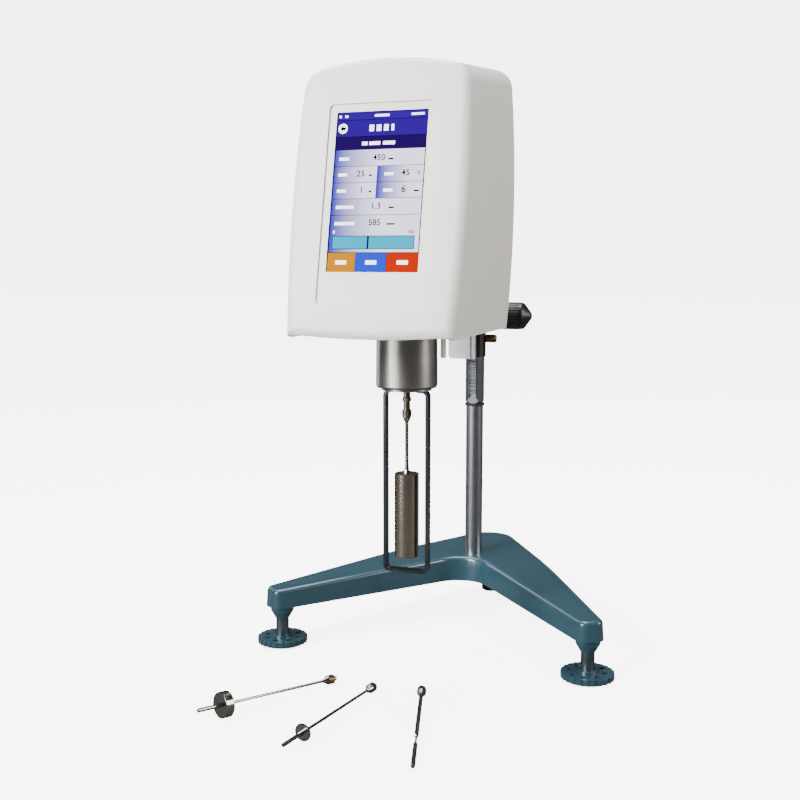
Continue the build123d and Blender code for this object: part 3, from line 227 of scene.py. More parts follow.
def mottle_group():
    """Soft cloudy variation with a finer grain on top, for paint, moulding and castings."""
    tree, start, end = new_group(
        "Mottled surface",
        (("Vector", "NodeSocketVector", None), ("Scale", "NodeSocketFloat", 400.0),
         ("Broad Scale", "NodeSocketFloat", 14.0)),
        (("Tone", "NodeSocketFloat"), ("Height", "NodeSocketFloat")))
    fine = tree.nodes.new("ShaderNodeTexNoise")
    fine.inputs["Detail"].default_value = 3
    broad = tree.nodes.new("ShaderNodeTexNoise")
    broad.inputs["Detail"].default_value = 4
    link = tree.links.new
    for node, label in ((fine, "Scale"), (broad, "Broad Scale")):
        link(start.outputs["Vector"], node.inputs["Vector"])
        link(start.outputs[label], node.inputs["Scale"])
    blend = tree.nodes.new("ShaderNodeMix")
    blend.inputs["Factor"].default_value = 0.3
    link(broad.outputs["Fac"], blend.inputs["A"])
    link(fine.outputs["Fac"], blend.inputs["B"])
    link(blend.outputs["Result"], end.inputs["Tone"])
    link(fine.outputs["Fac"], end.inputs["Height"])
    return tree


def brushed_group():
    """Fine scratches over a broader cloud, drawn out by the stretch that the material gives them."""
    tree, start, end = new_group(
        "Brushed surface",
        (("Vector", "NodeSocketVector", None), ("Scale", "NodeSocketFloat", 900.0)),
        (("Tone", "NodeSocketFloat"), ("Height", "NodeSocketFloat")))
    scratch = tree.nodes.new("ShaderNodeTexNoise")
    scratch.inputs["Detail"].default_value = 5
    scratch.inputs["Roughness"].default_value = 0.7
    cloud = tree.nodes.new("ShaderNodeTexNoise")
    cloud.inputs["Scale"].default_value = 30
    cloud.inputs["Detail"].default_value = 2
    link = tree.links.new
    link(start.outputs["Vector"], scratch.inputs["Vector"])
    link(start.outputs["Scale"], scratch.inputs["Scale"])
    link(start.outputs["Vector"], cloud.inputs["Vector"])
    blend = tree.nodes.new("ShaderNodeMix")
    blend.inputs["Factor"].default_value = 0.35
    link(scratch.outputs["Fac"], blend.inputs["A"])
    link(cloud.outputs["Fac"], blend.inputs["B"])
    link(blend.outputs["Result"], end.inputs["Tone"])
    link(scratch.outputs["Fac"], end.inputs["Height"])
    return tree


GROUPS = {"mottle": mottle_group(), "brushed": brushed_group()}


def surface(name, dark, light, group, scale, stretch=(1, 1, 1), rough=(0.4, 0.5), metal=0.0, coat=0.0,
            coat_rough=0.1, bump=0.1, depth=0.0002, broad=14.0):
    """A material whose colour, roughness and relief vary with one shared pattern."""
    material = bpy.data.materials.get(name)
    if material:
        return material
    material = bpy.data.materials.new(name)
    material.use_nodes = True
    material.diffuse_color = light
    tree = material.node_tree
    link = tree.links.new
    shader = tree.nodes["Principled BSDF"]
    shader.inputs["Metallic"].default_value = metal
    shader.inputs["Coat Weight"].default_value = coat
    shader.inputs["Coat Roughness"].default_value = coat_rough
    place = tree.nodes.new("ShaderNodeTexCoord")
    spread = tree.nodes.new("ShaderNodeMapping")
    spread.inputs["Scale"].default_value = stretch
    link(place.outputs["Object"], spread.inputs["Vector"])
    pattern = tree.nodes.new("ShaderNodeGroup")
    pattern.node_tree = GROUPS[group]
    pattern.inputs["Scale"].default_value = scale
    if group == "mottle":
        pattern.inputs["Broad Scale"].default_value = broad
    link(spread.outputs["Vector"], pattern.inputs["Vector"])
    ramp = tree.nodes.new("ShaderNodeValToRGB")
    for stop, position, colour in zip(ramp.color_ramp.elements, (0.3, 0.7), (dark, light)):
        stop.position = position
        stop.color = colour
    link(pattern.outputs["Tone"], ramp.inputs["Fac"])
    link(ramp.outputs["Color"], shader.inputs["Base Color"])
    gloss = tree.nodes.new("ShaderNodeMapRange")
    gloss.inputs["To Min"].default_value = rough[0]
    gloss.inputs["To Max"].default_value = rough[1]
    link(pattern.outputs["Tone"], gloss.inputs["Value"])
    link(gloss.outputs["Result"], shader.inputs["Roughness"])
    relief = tree.nodes.new("ShaderNodeBump")
    relief.inputs["Strength"].default_value = bump
    relief.inputs["Distance"].default_value = depth
    link(pattern.outputs["Height"], relief.inputs["Height"])
    link(relief.outputs["Normal"], shader.inputs["Normal"])
    return material


def shade(colour, factor):
    """A darker tone of a colour."""
    return (colour[0] * factor, colour[1] * factor, colour[2] * factor, 1.0)


def stand_paint():
    colour = bpy.context.scene.viscometer_stand.colour
    return surface("Gloss stand paint", shade(colour, 0.86), colour, "mottle", 260, rough=(0.24, 0.34),
                   coat=0.6, coat_rough=0.06, bump=0.08, depth=0.0003, broad=9)


def rod_steel():
    colour = bpy.context.scene.viscometer_stand.steel
    return surface("Ground rod steel", shade(colour, 0.82), colour, "brushed", 700, stretch=(1, 1, 6),
                   metal=1, rough=(0.26, 0.42), bump=0.12, depth=0.0001)


def shell_plastic():
    colour = bpy.context.scene.viscometer_shell.colour
    grain = 1 / bpy.context.scene.viscometer_shell.grain
    return surface("Moulded shell", shade(colour, 0.955), colour, "mottle", grain, rough=(0.42, 0.5),
                   coat=0.12, coat_rough=0.3, bump=0.12, depth=0.0001, broad=7)


def panel_coat():
    colour = bpy.context.scene.viscometer_shell.vent_colour
    return surface("Powder coated panel", shade(colour, 0.93), colour, "mottle", 1500, rough=(0.45, 0.6),
                   bump=0.3, depth=0.0002, broad=20)


def cup_steel():
    colour = bpy.context.scene.viscometer_drive.cup
    return surface("Brushed cup steel", shade(colour, 0.72), colour, "brushed", 800, stretch=(1, 1, 3),
                   metal=1, rough=(0.24, 0.4), bump=0.2, depth=0.0001)


def spindle_steel():
    colour = bpy.context.scene.viscometer_drive.spindle
    return surface("Turned spindle steel", shade(colour, 0.8), colour, "brushed", 900, stretch=(1, 1, 9),
                   metal=1, rough=(0.16, 0.26), bump=0.03, depth=0.0001)


# The guard's steel is kept dark as painted shade: the dark tone stands in for the dim room that its polished
# strips mirror
def guard_steel():
    return surface("Guard strip steel", sheen(62, 64, 70), sheen(112, 114, 120), "brushed", 900,
                   stretch=(8, 8, 1), metal=1, rough=(0.16, 0.28), bump=0.1, depth=0.0001)


def bright_steel():
    return surface("Bright machined steel", sheen(160, 160, 160), sheen(214, 213, 210), "brushed", 1100,
                   stretch=(1, 1, 2), metal=1, rough=(0.16, 0.3), bump=0.08, depth=0.0001)


def carriage_alloy():
    return surface("Painted carriage alloy", sheen(168, 169, 171), sheen(202, 203, 204), "mottle", 900,
                   metal=0.55, rough=(0.36, 0.5), bump=0.18, depth=0.0002, broad=25)


def black_moulding():
    return surface("Black moulding", sheen(8, 9, 9), sheen(22, 25, 24), "mottle", 1300, rough=(0.3, 0.45),
                   bump=0.15, depth=0.0002, broad=40)


def aged_brass():
    return surface("Aged brass", sheen(84, 74, 54), sheen(132, 116, 84), "brushed", 900, metal=1,
                   rough=(0.28, 0.44), bump=0.15, depth=0.0001)


def coupling_steel():
    return surface("Knurled coupling steel", sheen(96, 88, 76), sheen(168, 158, 140), "brushed", 900,
                   metal=1, rough=(0.24, 0.38), bump=0.12, depth=0.0001)


def spare_steel():
    return surface("Polished spare steel", sheen(120, 118, 114), sheen(190, 186, 178), "brushed", 1100,
                   metal=1, rough=(0.12, 0.24), bump=0.06, depth=0.0001)


def dark_rubber():
    return surface("Dark rubber", sheen(14, 14, 15), sheen(30, 30, 31), "mottle", 900, rough=(0.6, 0.8),
                   bump=0.25, depth=0.0003, broad=30)


# A dark bluish tone for the steel of the foot stems
def stem_steel():
    return surface("Dark stem steel", sheen(52, 66, 74), sheen(98, 110, 118), "brushed", 900,
                   stretch=(1, 1, 5), metal=0.85, rough=(0.3, 0.46), bump=0.15, depth=0.0001)


def board_laminate():
    return surface("Circuit laminate", sheen(10, 60, 30), sheen(22, 92, 48), "mottle", 700,
                   rough=(0.35, 0.5), coat=0.4, bump=0.1, depth=0.0001, broad=60)


def screen_edge():
    return surface("Screen edge", sheen(10, 10, 16), sheen(24, 24, 34), "mottle", 900, rough=(0.08, 0.14),
                   bump=0.02)


def plain_glow(name, attribute, strength):
    """A lit surface that takes its colours from a colour attribute on the mesh and is dark when unlit."""
    material = bpy.data.materials.new(name)
    material.use_nodes = True
    link = material.node_tree.links.new
    shader = material.node_tree.nodes["Principled BSDF"]
    shader.inputs["Roughness"].default_value = 0.5
    shader.inputs["Specular IOR Level"].default_value = 0.0
    shader.inputs["Emission Strength"].default_value = strength
    tint = material.node_tree.nodes.new("ShaderNodeVertexColor")
    tint.layer_name = attribute
    unlit = material.node_tree.nodes.new("ShaderNodeVectorMath")
    unlit.operation = "SCALE"
    unlit.inputs["Scale"].default_value = 0.06
    link(tint.outputs["Color"], unlit.inputs[0])
    link(unlit.outputs["Vector"], shader.inputs["Base Color"])
    link(tint.outputs["Color"], shader.inputs["Emission Color"])
    return material


def clear_glass(name, colour, rough):
    """A tinted glass that lets most light through."""
    material = bpy.data.materials.new(name)
    material.use_nodes = True
    shader = material.node_tree.nodes["Principled BSDF"]
    shader.inputs["Base Color"].default_value = colour
    shader.inputs["Roughness"].default_value = rough
    shader.inputs["Transmission Weight"].default_value = 0.9
    shader.inputs["IOR"].default_value = 1.45
    return material


# Mesh helpers
def place_piece(name, mesh, material, body, slot, *nodes):
    """Links a finished mesh as a piece that rides on a body and may stand for CAD nodes."""
    piece = bpy.data.objects.new(name, mesh)
    bpy.context.scene.collection.objects.link(piece)
    if material is not None:
        mesh.materials.clear()
        mesh.materials.append(material)
    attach(piece, body)
    if nodes:
        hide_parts(*nodes)
    return piece


def coat_node(material, *nodes):
    """Gives CAD nodes whose shape is right their finish."""
    for node in nodes:
        for holder in frame["nodes"][node].material_slots:
            holder.material = material


def smooth_copy(node, material, slot, angle=SOFT_ANGLE):
    """A CAD node's own form with its facets merged and smoothed, to stand for it."""
    source = frame["nodes"][node]
    mesh = source.data.copy()
    work = bmesh.new()
    work.from_mesh(mesh)
    bmesh.ops.remove_doubles(work, verts=work.verts, dist=MERGE_GAP)
    bmesh.ops.dissolve_degenerate(work, edges=work.edges, dist=SLIVER)
    for face in work.faces:
        face.smooth = True
    for edge in work.edges:
        edge.smooth = len(edge.link_faces) == 2 and edge.calc_face_angle(0) < math.radians(angle)
    work.to_mesh(mesh)
    work.free()
    if "custom_normal" in mesh.attributes:
        mesh.attributes.remove(mesh.attributes["custom_normal"])
    return place_piece(node + "_finished", mesh, material, source["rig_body"], slot, node)


def turned_mesh(name, profile):
    """A closed ring turned about the upright axis, from (radius, height) points in millimetres."""
    work = bmesh.new()
    turns = [math.tau * k / CUP_STEPS for k in range(CUP_STEPS)]
    rings = [[work.verts.new((radius * MM * math.cos(turn), radius * MM * math.sin(turn), height * MM))
              for turn in turns] for radius, height in profile]
    for low, high in zip(rings, rings[1:] + rings[:1]):
        for k in range(CUP_STEPS):
            n = (k + 1) % CUP_STEPS
            work.faces.new((low[k], low[n], high[n], high[k]))
    bmesh.ops.recalc_face_normals(work, faces=work.faces)
    for face in work.faces:
        face.smooth = True
    for edge in work.edges:
        edge.smooth = edge.calc_face_angle(0) < math.radians(SOFT_ANGLE)
    mesh = bpy.data.meshes.new(name)
    work.to_mesh(mesh)
    work.free()
    return mesh


def merged(name, meshes):
    """One mesh from several, kept apart inside it."""
    work = bmesh.new()
    for mesh in meshes:
        work.from_mesh(mesh)
    out = bpy.data.meshes.new(name)
    work.to_mesh(out)
    work.free()
    return out


# Geometry node trees for what repeats
def copies_tree(name, layout):
    """A tree that sets one small pin on each point of a ring, facing outwards, or of the base mesh."""
    tree = bpy.data.node_groups.new(name, "GeometryNodeTree")
    tree.is_modifier = True
    for label, kind in (("Geometry", "Geometry"), ("Count", "Int"), ("Reach", "Float"),
                        ("Copy Size", "Vector"), ("Copy Sides", "Int"), ("Finish", "Material")):
        tree.interface.new_socket(name=label, in_out="INPUT", socket_type="NodeSocket" + kind)
    tree.interface.new_socket(name="Geometry", in_out="OUTPUT", socket_type="NodeSocketGeometry")
    start = tree.nodes.new("NodeGroupInput")
    end = tree.nodes.new("NodeGroupOutput")
    link = tree.links.new
    spread = tree.nodes.new("GeometryNodeInstanceOnPoints")
    if layout == "ring":
        points = tree.nodes.new("GeometryNodeMeshCircle")
        link(start.outputs["Count"], points.inputs["Vertices"])
        link(start.outputs["Reach"], points.inputs["Radius"])
        link(points.outputs["Mesh"], spread.inputs["Points"])
        outward = tree.nodes.new("GeometryNodeInputPosition")
        facing = tree.nodes.new("FunctionNodeAlignEulerToVector")
        facing.axis = "X"
        link(outward.outputs["Position"], facing.inputs["Vector"])
        link(facing.outputs["Rotation"], spread.inputs["Rotation"])
    else:
        link(start.outputs["Geometry"], spread.inputs["Points"])
    pin = tree.nodes.new("GeometryNodeMeshCylinder")
    pin.inputs["Radius"].default_value = 0.5
    pin.inputs["Depth"].default_value = 1.0
    link(start.outputs["Copy Sides"], pin.inputs["Vertices"])
    link(pin.outputs["Mesh"], spread.inputs["Instance"])
    link(start.outputs["Copy Size"], spread.inputs["Scale"])
    real = tree.nodes.new("GeometryNodeRealizeInstances")
    link(spread.outputs["Instances"], real.inputs["Geometry"])
    paint = tree.nodes.new("GeometryNodeSetMaterial")
    link(real.outputs["Geometry"], paint.inputs["Geometry"])
    link(start.outputs["Finish"], paint.inputs["Material"])
    link(paint.outputs["Geometry"], end.inputs["Geometry"])
    return tree


def grown(name, tree, place, points=(), **values):
    """Runs a tree once and returns its result as a plain mesh set in place."""
    seed = bpy.data.meshes.new(name + "_points")
    seed.from_pydata(list(points), [], [])
    holder = bpy.data.objects.new(name + "_seed", seed)
    bpy.context.scene.collection.objects.link(holder)
    modifier = holder.modifiers.new("Copies", "NODES")
    modifier.node_group = tree
    for socket in tree.interface.items_tree:
        label = socket.name.replace(" ", "_").lower()
        if socket.in_out == "INPUT" and label in values:
            modifier[socket.identifier] = values[label]
    graph = bpy.context.evaluated_depsgraph_get()
    mesh = bpy.data.meshes.new_from_object(holder.evaluated_get(graph))
    holder.modifiers.remove(modifier)
    bpy.data.objects.remove(holder)
    mesh.transform(place)
    mesh.name = name
    return mesh


def base_of(x, y, z, turn=None):
    """A placing matrix from millimetres and an optional turn."""
    return Matrix.Translation(Vector((x, y, z)) * MM) @ (turn or Matrix.Identity(4))


TREES = {layout: copies_tree("Copies on a " + layout, layout) for layout in ("ring", "mesh")}


# Stand
class VISCOMETER_OT_stand(bpy.types.Operator):
    """Finish the cast base, the column with its rack, and the stop ring"""

    bl_idname = "viscometer.stand"
    bl_label = "Stand"

    def execute(self, context):
        smooth_copy("base_casting", stand_paint(), "teal_paint", 28)
        smooth_copy("column", rod_steel(), "ground_steel")
        coat_node(rod_steel(), "rack")
        coat_node(bright_steel(), "column_nut")
        coat_node(black_moulding(), "column_cap")
        coat_node(dark_rubber(), "stop_ring", "rear_foot")
        return {"FINISHED"}


class VISCOMETER_OT_feet(bpy.types.Operator):
    """Finish the levelling feet: painted wheels, steel stems and rubber glides"""

    bl_idname = "viscometer.feet"
    bl_label = "Levelling feet"

    def execute(self, context):
        for side in ("left", "right"):
            smooth_copy("foot_wheel_" + side, stand_paint(), "teal_paint", 30)
            coat_node(dark_rubber(), "foot_glide_" + side)
            smooth_copy("foot_stem_" + side, stem_steel(), "ground_steel")
        return {"FINISHED"}


# Head
class VISCOMETER_OT_shell(bpy.types.Operator):
    """Finish the head's shell, its rear panel, bottom plate and level"""

    bl_idname = "viscometer.shell"
    bl_label = "Head shell"

    def execute(self, context):
        smooth_copy("head_hood", shell_plastic(), "shell", 26)
        coat_node(panel_coat(), "back_panel", "bottom_plate")
        coat_node(shell_plastic(), "temperature_tip")
        coat_node(clear_glass("Vial glass", sheen(190, 220, 120), 0.02), "level_vial")
        return {"FINISHED"}


def on_face(across, up, out):
    """A point on the leaning face: millimetres across, up from its foot and out from it."""
    return (FACE_FOOT + Vector((across, 0, 0)) + FACE_UP * up + FACE_OUT * out) * MM


def on_screen(u, v, layer):
    """A point on a layer of the screen from its top left corner, with u and v from 0 to 1."""
    top = (SCREEN_MIDDLE - FACE_FOOT.z) / math.cos(LEAN) + SCREEN_HIGH / 2
    lift = FIRST_LIFT + LAYER_STEP * layer
    return on_face((u - 0.5) * SCREEN_WIDE, top - v * SCREEN_HIGH, GLASS_FRONT + lift)


SCREEN_TINTS = {
    "status": lit(78, 6, 160), "title": lit(74, 4, 155), "navy": lit(52, 0, 114), "cell": lit(72, 70, 184),
    "pale": lit(218, 216, 226), "bar": lit(0, 180, 200), "bar_edge": lit(0, 40, 90), "marker": lit(0, 0, 100),
    "amber": lit(196, 156, 0), "blue": lit(46, 94, 202), "red": lit(190, 56, 0), "white": lit(246, 246, 250),
    "ink": lit(4, 4, 16), "bezel": lit(0, 0, 50),
}
# Fields of the screen: left, top, right and bottom, the tints at the left and right edges, and the layer
SCREEN_FIELDS = (
    (0, 0, 1, 1, "bezel", "bezel", 0),
    (0.012, 0.004, 1, 0.050, "status", "status", 1),
    (0.012, 0.053, 1, 0.155, "title", "title", 1),
    (0.012, 0.158, 1, 0.240, "navy", "navy", 1),
    (0.012, 0.240, 0.5, 0.342, "cell", "pale", 1),
    (0.5, 0.240, 0.99, 0.342, "pale", "pale", 1),
    (0.012, 0.345, 0.36, 0.443, "cell", "pale", 1),
    (0.36, 0.345, 0.488, 0.443, "pale", "pale", 1),
    (0.494, 0.345, 0.85, 0.443, "cell", "pale", 1),
    (0.85, 0.345, 0.99, 0.443, "pale", "pale", 1),
    (0.012, 0.446, 0.36, 0.544, "cell", "pale", 1),
    (0.36, 0.446, 0.488, 0.544, "pale", "pale", 1),
    (0.494, 0.446, 0.85, 0.544, "cell", "pale", 1),
    (0.85, 0.446, 0.99, 0.544, "pale", "pale", 1),
    (0.012, 0.547, 0.5, 0.646, "cell", "pale", 1),
    (0.5, 0.547, 0.99, 0.646, "pale", "pale", 1),
    (0.012, 0.649, 0.55, 0.878, "cell", "pale", 1),
    (0.55, 0.649, 0.99, 0.878, "pale", "pale", 1),
    (0.045, 0.776, 0.945, 0.860, "bar_edge", "bar_edge", 2),
    (0.052, 0.780, 0.938, 0.856, "bar", "bar", 3),
    (0.432, 0.778, 0.450, 0.858, "marker", "marker", 4),
    (0.012, 0.882, 0.316, 1, "amber", "amber", 1),
    (0.320, 0.882, 0.654, 1, "blue", "blue", 1),
    (0.658, 0.882, 1, 1, "red", "red", 1),
)
# Plain bars where labels go: their tint and height, and the left, top and right of each
MARK_LAYER = 2
SCREEN_MARKS = (
    ("white", 0.020, ((0.06, 0.285, 0.17), (0.06, 0.385, 0.16), (0.57, 0.385, 0.67), (0.06, 0.486, 0.16),
                      (0.57, 0.486, 0.67), (0.06, 0.588, 0.26), (0.06, 0.690, 0.28))),
    ("ink", 0.010, ((0.60, 0.296, 0.655), (0.40, 0.396, 0.435), (0.90, 0.497, 0.955), (0.41, 0.497, 0.44),
                    (0.64, 0.598, 0.70), (0.63, 0.700, 0.72))),
    ("white", 0.040, ((0.37, 0.085, 0.42), (0.45, 0.085, 0.50), (0.53, 0.085, 0.58), (0.61, 0.085, 0.64))),
    ("white", 0.026, ((0.10, 0.928, 0.22), (0.43, 0.928, 0.55), (0.77, 0.928, 0.89))),
    ("white", 0.014, ((0.025, 0.020, 0.05), (0.09, 0.020, 0.125), (0.42, 0.020, 0.58), (0.82, 0.020, 0.96))),
    ("white", 0.022, ((0.30, 0.190, 0.36), (0.38, 0.190, 0.50), (0.53, 0.190, 0.66))),
)
# Round button with its arrow, at the left of the title
BUTTON_MIDDLE = (0.075, 0.103)
BUTTON_REACH = (0.052, 0.0315)
BUTTON_STEPS = 32
BUTTON_LAYER = 2
ARROW = ((0.045, 0.103), (0.075, 0.125), (0.075, 0.112), (0.108, 0.112), (0.108, 0.094), (0.075, 0.094),
         (0.075, 0.081))
ARROW_LAYER = 3
# Numbers: text, middle, height in millimetres and tint
FIGURE_LAYER = 5
FIGURES = (
    ("450", 0.50, 0.292, 6.0, "ink"), ("25", 0.31, 0.391, 6.0, "ink"), ("45", 0.80, 0.391, 6.0, "ink"),
    ("1", 0.33, 0.493, 6.0, "ink"), ("6", 0.79, 0.493, 6.6, "ink"), ("1.3", 0.50, 0.594, 6.0, "ink"),
    ("585", 0.50, 0.696, 6.0, "ink"), ("%", 0.94, 0.393, 4.0, "ink"), ("0", 0.06, 0.754, 3.4, "white"),
    ("100", 0.90, 0.754, 3.4, "ink"),
)


def screen_patches():
    """Every field and bar on the screen, each as a row of SCREEN_FIELDS."""
    patches = list(SCREEN_FIELDS)
    for tint, high, bars in SCREEN_MARKS:
        patches += [(left, top, right, top + high, tint, tint, MARK_LAYER) for left, top, right in bars]
    return patches


def tinted_mesh(name, quads):
    """A mesh of separate faces with a colour for each corner."""
    mesh = bpy.data.meshes.new(name)
    points, faces, colours = [], [], []
    for corners, tints in quads:
        faces.append(tuple(range(len(points), len(points) + len(corners))))
        points += corners
        colours += tints
    mesh.from_pydata(points, [], faces)
    layer = mesh.color_attributes.new("tint", "FLOAT_COLOR", "CORNER")
    for index, colour in enumerate(colours):
        layer.data[index].color = colour
    return mesh


def figure_quads(text, u, v, high, colour):
    """The faces of a number on the screen, centred on a point."""
    curve = bpy.data.curves.new("figure", "FONT")
    curve.body = text
    curve.size = high
    curve.align_x = "CENTER"
    curve.align_y = "CENTER"
    curve.resolution_u = 3
    curve.offset = 0.012 * high
    holder = bpy.data.objects.new("figure", curve)
    bpy.context.scene.collection.objects.link(holder)
    mesh = bpy.data.meshes.new_from_object(holder.evaluated_get(bpy.context.evaluated_depsgraph_get()))
    bpy.data.objects.remove(holder)
    quads = []
    for face in mesh.polygons:
        corners = []
        for index in face.vertices:
            x, y, _ = mesh.vertices[index].co
            corners.append(on_screen(u + x / SCREEN_WIDE, v - y / SCREEN_HIGH, FIGURE_LAYER))
        quads.append((corners, [colour] * len(corners)))
    return quads


class VISCOMETER_OT_screen(bpy.types.Operator):
    """Light the touch screen with plain rows, bars and numbers"""

    bl_idname = "viscometer.screen"
    bl_label = "Touch screen"

    def execute(self, context):
        tints = SCREEN_TINTS
        quads = []
        for left, top, right, bottom, start, stop, layer in screen_patches():
            corners = [on_screen(u, v, layer)
                       for u, v in ((left, bottom), (right, bottom), (right, top), (left, top))]
            quads.append((corners, [tints[start], tints[stop], tints[stop], tints[start]]))
        middle_u, middle_v = BUTTON_MIDDLE
        wide, high = BUTTON_REACH
        turns = [math.tau * k / BUTTON_STEPS for k in range(BUTTON_STEPS)]
        button = [on_screen(middle_u + wide * math.cos(turn), middle_v - high * math.sin(turn), BUTTON_LAYER)
                  for turn in turns]
        quads.append((button, [tints["white"]] * len(button)))
        quads.append(([on_screen(u, v, ARROW_LAYER) for u, v in ARROW], [tints["ink"]] * len(ARROW)))
        for text, u, v, high, tint in FIGURES:
            quads += figure_quads(text, u, v, high, tints[tint])
        picture = tinted_mesh("screen_picture", quads)
        glow = plain_glow("Lit display", "tint", context.scene.viscometer_screen.brightness)
        place_piece("screen_picture", picture, glow, "carriage", "screen_glass")
        coat_node(screen_edge(), "display_glass")
        coat_node(board_laminate(), "display_module", "main_board")
        return {"FINISHED"}


# Drive, guard and spindle
class VISCOMETER_OT_drive(bpy.types.Operator):
    """Finish the cup, the guard, the coupling and the mounted spindle"""

    bl_idname = "viscometer.drive"
    bl_label = "Cup, guard and spindle"

    def execute(self, context):
        cup = turned_mesh("cup_turned", CUP_PROFILE)
        place_piece("cup_turned", cup, cup_steel(), "carriage", "brushed_cup", "cup")
        seal = turned_mesh("cup_seal", SEAL_PROFILE)
        place_piece("cup_seal", seal, dark_rubber(), "carriage", "dark_rubber")
        smooth_copy("guard_ring", cup_steel(), "brushed_cup")
        smooth_copy("guard_bracket", guard_steel(), "brushed_cup")
        smooth_copy("spindle_1", spindle_steel(), "brushed_cup")
        smooth_copy("drive_stud", coupling_steel(), "brushed_cup")
        smooth_copy("spindle_nut", coupling_steel(), "cast_alloy")
        knurls = context.scene.viscometer_drive.knurls
        rings = [grown(name, TREES["ring"], base_of(*ring["place"]), reach=ring["reach"], count=knurls,
                       copy_size=COUPLING_RIDGE, copy_sides=KNURL_SIDES, finish=coupling_steel())
                 for name, ring in (("stud_knurl", STUD_KNURL), ("nut_knurl", NUT_KNURL))]
        ridges = merged("coupling_knurl", rings)
        place_piece("coupling_knurl", ridges, coupling_steel(), "spindle", "brushed_cup")
        return {"FINISHED"}


# Carriage
class VISCOMETER_OT_carriage(bpy.types.Operator):
    """Finish the lift block, its sleeves, knob, lock screw and support rod; the lower sleeve's black is
    partly painted shade on the column
    """

    bl_idname = "viscometer.carriage"
    bl_label = "Lift carriage"

    def execute(self, context):
        smooth_copy("lift_block", carriage_alloy(), "cast_alloy")
        smooth_copy("lift_knob", black_moulding(), "black_plastic")
        # The lower bush is a thin black guide sleeve round the column under the block; its black is also
        # painted shade, standing in for the shadow the block casts on the column
        smooth_copy("lower_bush", black_moulding(), "black_plastic")
        coat_node(black_moulding(), "upper_bush")
        smooth_copy("lock_screw", aged_brass(), "turned_brass")
        smooth_copy("support_rod", rod_steel(), "ground_steel")
        coat_node(bright_steel(), "rod_clamp_screw", "pinion_shaft")
        coat_node(aged_brass(), "pinion_bushes")
        sideways = Matrix.Rotation(math.radians(90), 4, "Y")
        flutes = grown("knob_flutes", TREES["ring"], base_of(*KNOB_MIDDLE, sideways), count=KNOB_FLUTES,
                       reach=FLUTE_REACH, copy_size=FLUTE_SIZE, copy_sides=FLUTE_SIDES,
                       finish=black_moulding())
        place_piece("knob_flutes", flutes, None, "lift_pinion", "black_plastic")
        return {"FINISHED"}


# Back of the head
class VISCOMETER_OT_rear(bpy.types.Operator):
    """Finish the switch, the sockets and the screws, and paint shade into each screw's hexagon socket as a
    thin black hexagon
    """

    bl_idname = "viscometer.rear"
    bl_label = "Rear fittings"

    def execute(self, context):
        coat_node(black_moulding(), "switch_housing", "power_inlet")
        smooth_copy("switch_rocker", black_moulding(), "black_plastic")
        coat_node(bright_steel(), "data_port", "panel_screws", "plate_screws")
        # Each screw's socket is a thin black hexagon laid on its head: painted shade for the dark inside of
        # the hole
        upright = Matrix.Rotation(math.radians(90), 4, "X")
        middles = [(side * x * MM, z * MM, 0) for side in (-1, 1) for x, z in PANEL_SCREWS]
        sockets = grown("screw_sockets", TREES["mesh"], base_of(0, SCREW_TOP, 0, upright), points=middles,
                        copy_size=SOCKET_SHADE_SIZE, copy_sides=6, finish=black_moulding())
        place_piece("screw_sockets", sockets, None, "carriage", "black_plastic")
        return {"FINISHED"}


# Works that only an opened head would show
class VISCOMETER_OT_works(bpy.types.Operator):
    """Finish the pieces inside the head"""

    bl_idname = "viscometer.works"
    bl_label = "Works"

    def execute(self, context):
        coat_node(bright_steel(), "chassis", "motor_bracket", "motor", "motor_pinion", "spindle_bearings",
                  "spindle_disc", "spindle_shaft", "hairspring")
        coat_node(carriage_alloy(), "spindle_housing", "drive_tube", "drive_disc")
        coat_node(aged_brass(), "drive_gear")
        return {"FINISHED"}


# Spare spindles
class VISCOMETER_OT_spares(bpy.types.Operator):
    """Finish the spare spindles that lie on the bench"""

    bl_idname = "viscometer.spares"
    bl_label = "Spare spindles"

    def execute(self, context):
        for number, (start, tip) in SPARE_ENDS.items():
            smooth_copy("spindle_" + number, spare_steel(), "bright_steel")
            smooth_copy("spindle_nut_" + number, aged_brass(), "turned_brass")
            turn = Vector((0, 0, 1)).rotation_difference(tip - start).to_matrix().to_4x4()
            middle = start + (tip - start).normalized() * SPARE_NUT_MIDDLE
            ridges = grown("nut_knurl", TREES["ring"], base_of(*middle, turn), count=SPARE_KNURLS,
                           reach=SPARE_REACH, copy_size=SPARE_RIDGE, copy_sides=KNURL_SIDES,
                           finish=aged_brass())
            place_piece("nut_knurl_" + number, ridges, aged_brass(), "spare_" + number, "turned_brass")
        return {"FINISHED"}


# Studio
def soft_light(name, place, aim, size, power, colour, spread):
    """A rectangular soft light that faces a point, both in metres, with its spread in degrees."""
    lamp = bpy.data.lights.new(name, "AREA")
    lamp.shape = "RECTANGLE"
    lamp.size, lamp.size_y = size
    lamp.energy = power
    lamp.color = colour
    lamp.spread = math.radians(spread)
    holder = bpy.data.objects.new(name, lamp)
    holder.location = place
    holder.rotation_euler = (Vector(aim) - Vector(place)).to_track_quat("-Z", "Y").to_euler()
    bpy.context.scene.collection.objects.link(holder)


def by_ray(tree, seen, mirrored, scattered):
    """A colour output that differs for what the camera sees, what gloss mirrors and all other light."""
    ray = tree.nodes.new("ShaderNodeLightPath")
    gloss = tree.nodes.new("ShaderNodeMix")
    view = tree.nodes.new("ShaderNodeMix")
    for choice, kind, chosen in ((gloss, "Is Glossy Ray", mirrored), (view, "Is Camera Ray", seen)):
        choice.data_type = "RGBA"
        choice.inputs[MIX_HIGH].default_value = chosen
        tree.links.new(ray.outputs[kind], choice.inputs[MIX_FACTOR])
    gloss.inputs[MIX_LOW].default_value = scattered
    tree.links.new(gloss.outputs[MIX_RESULT], view.inputs[MIX_LOW])
    return view.outputs[MIX_RESULT]


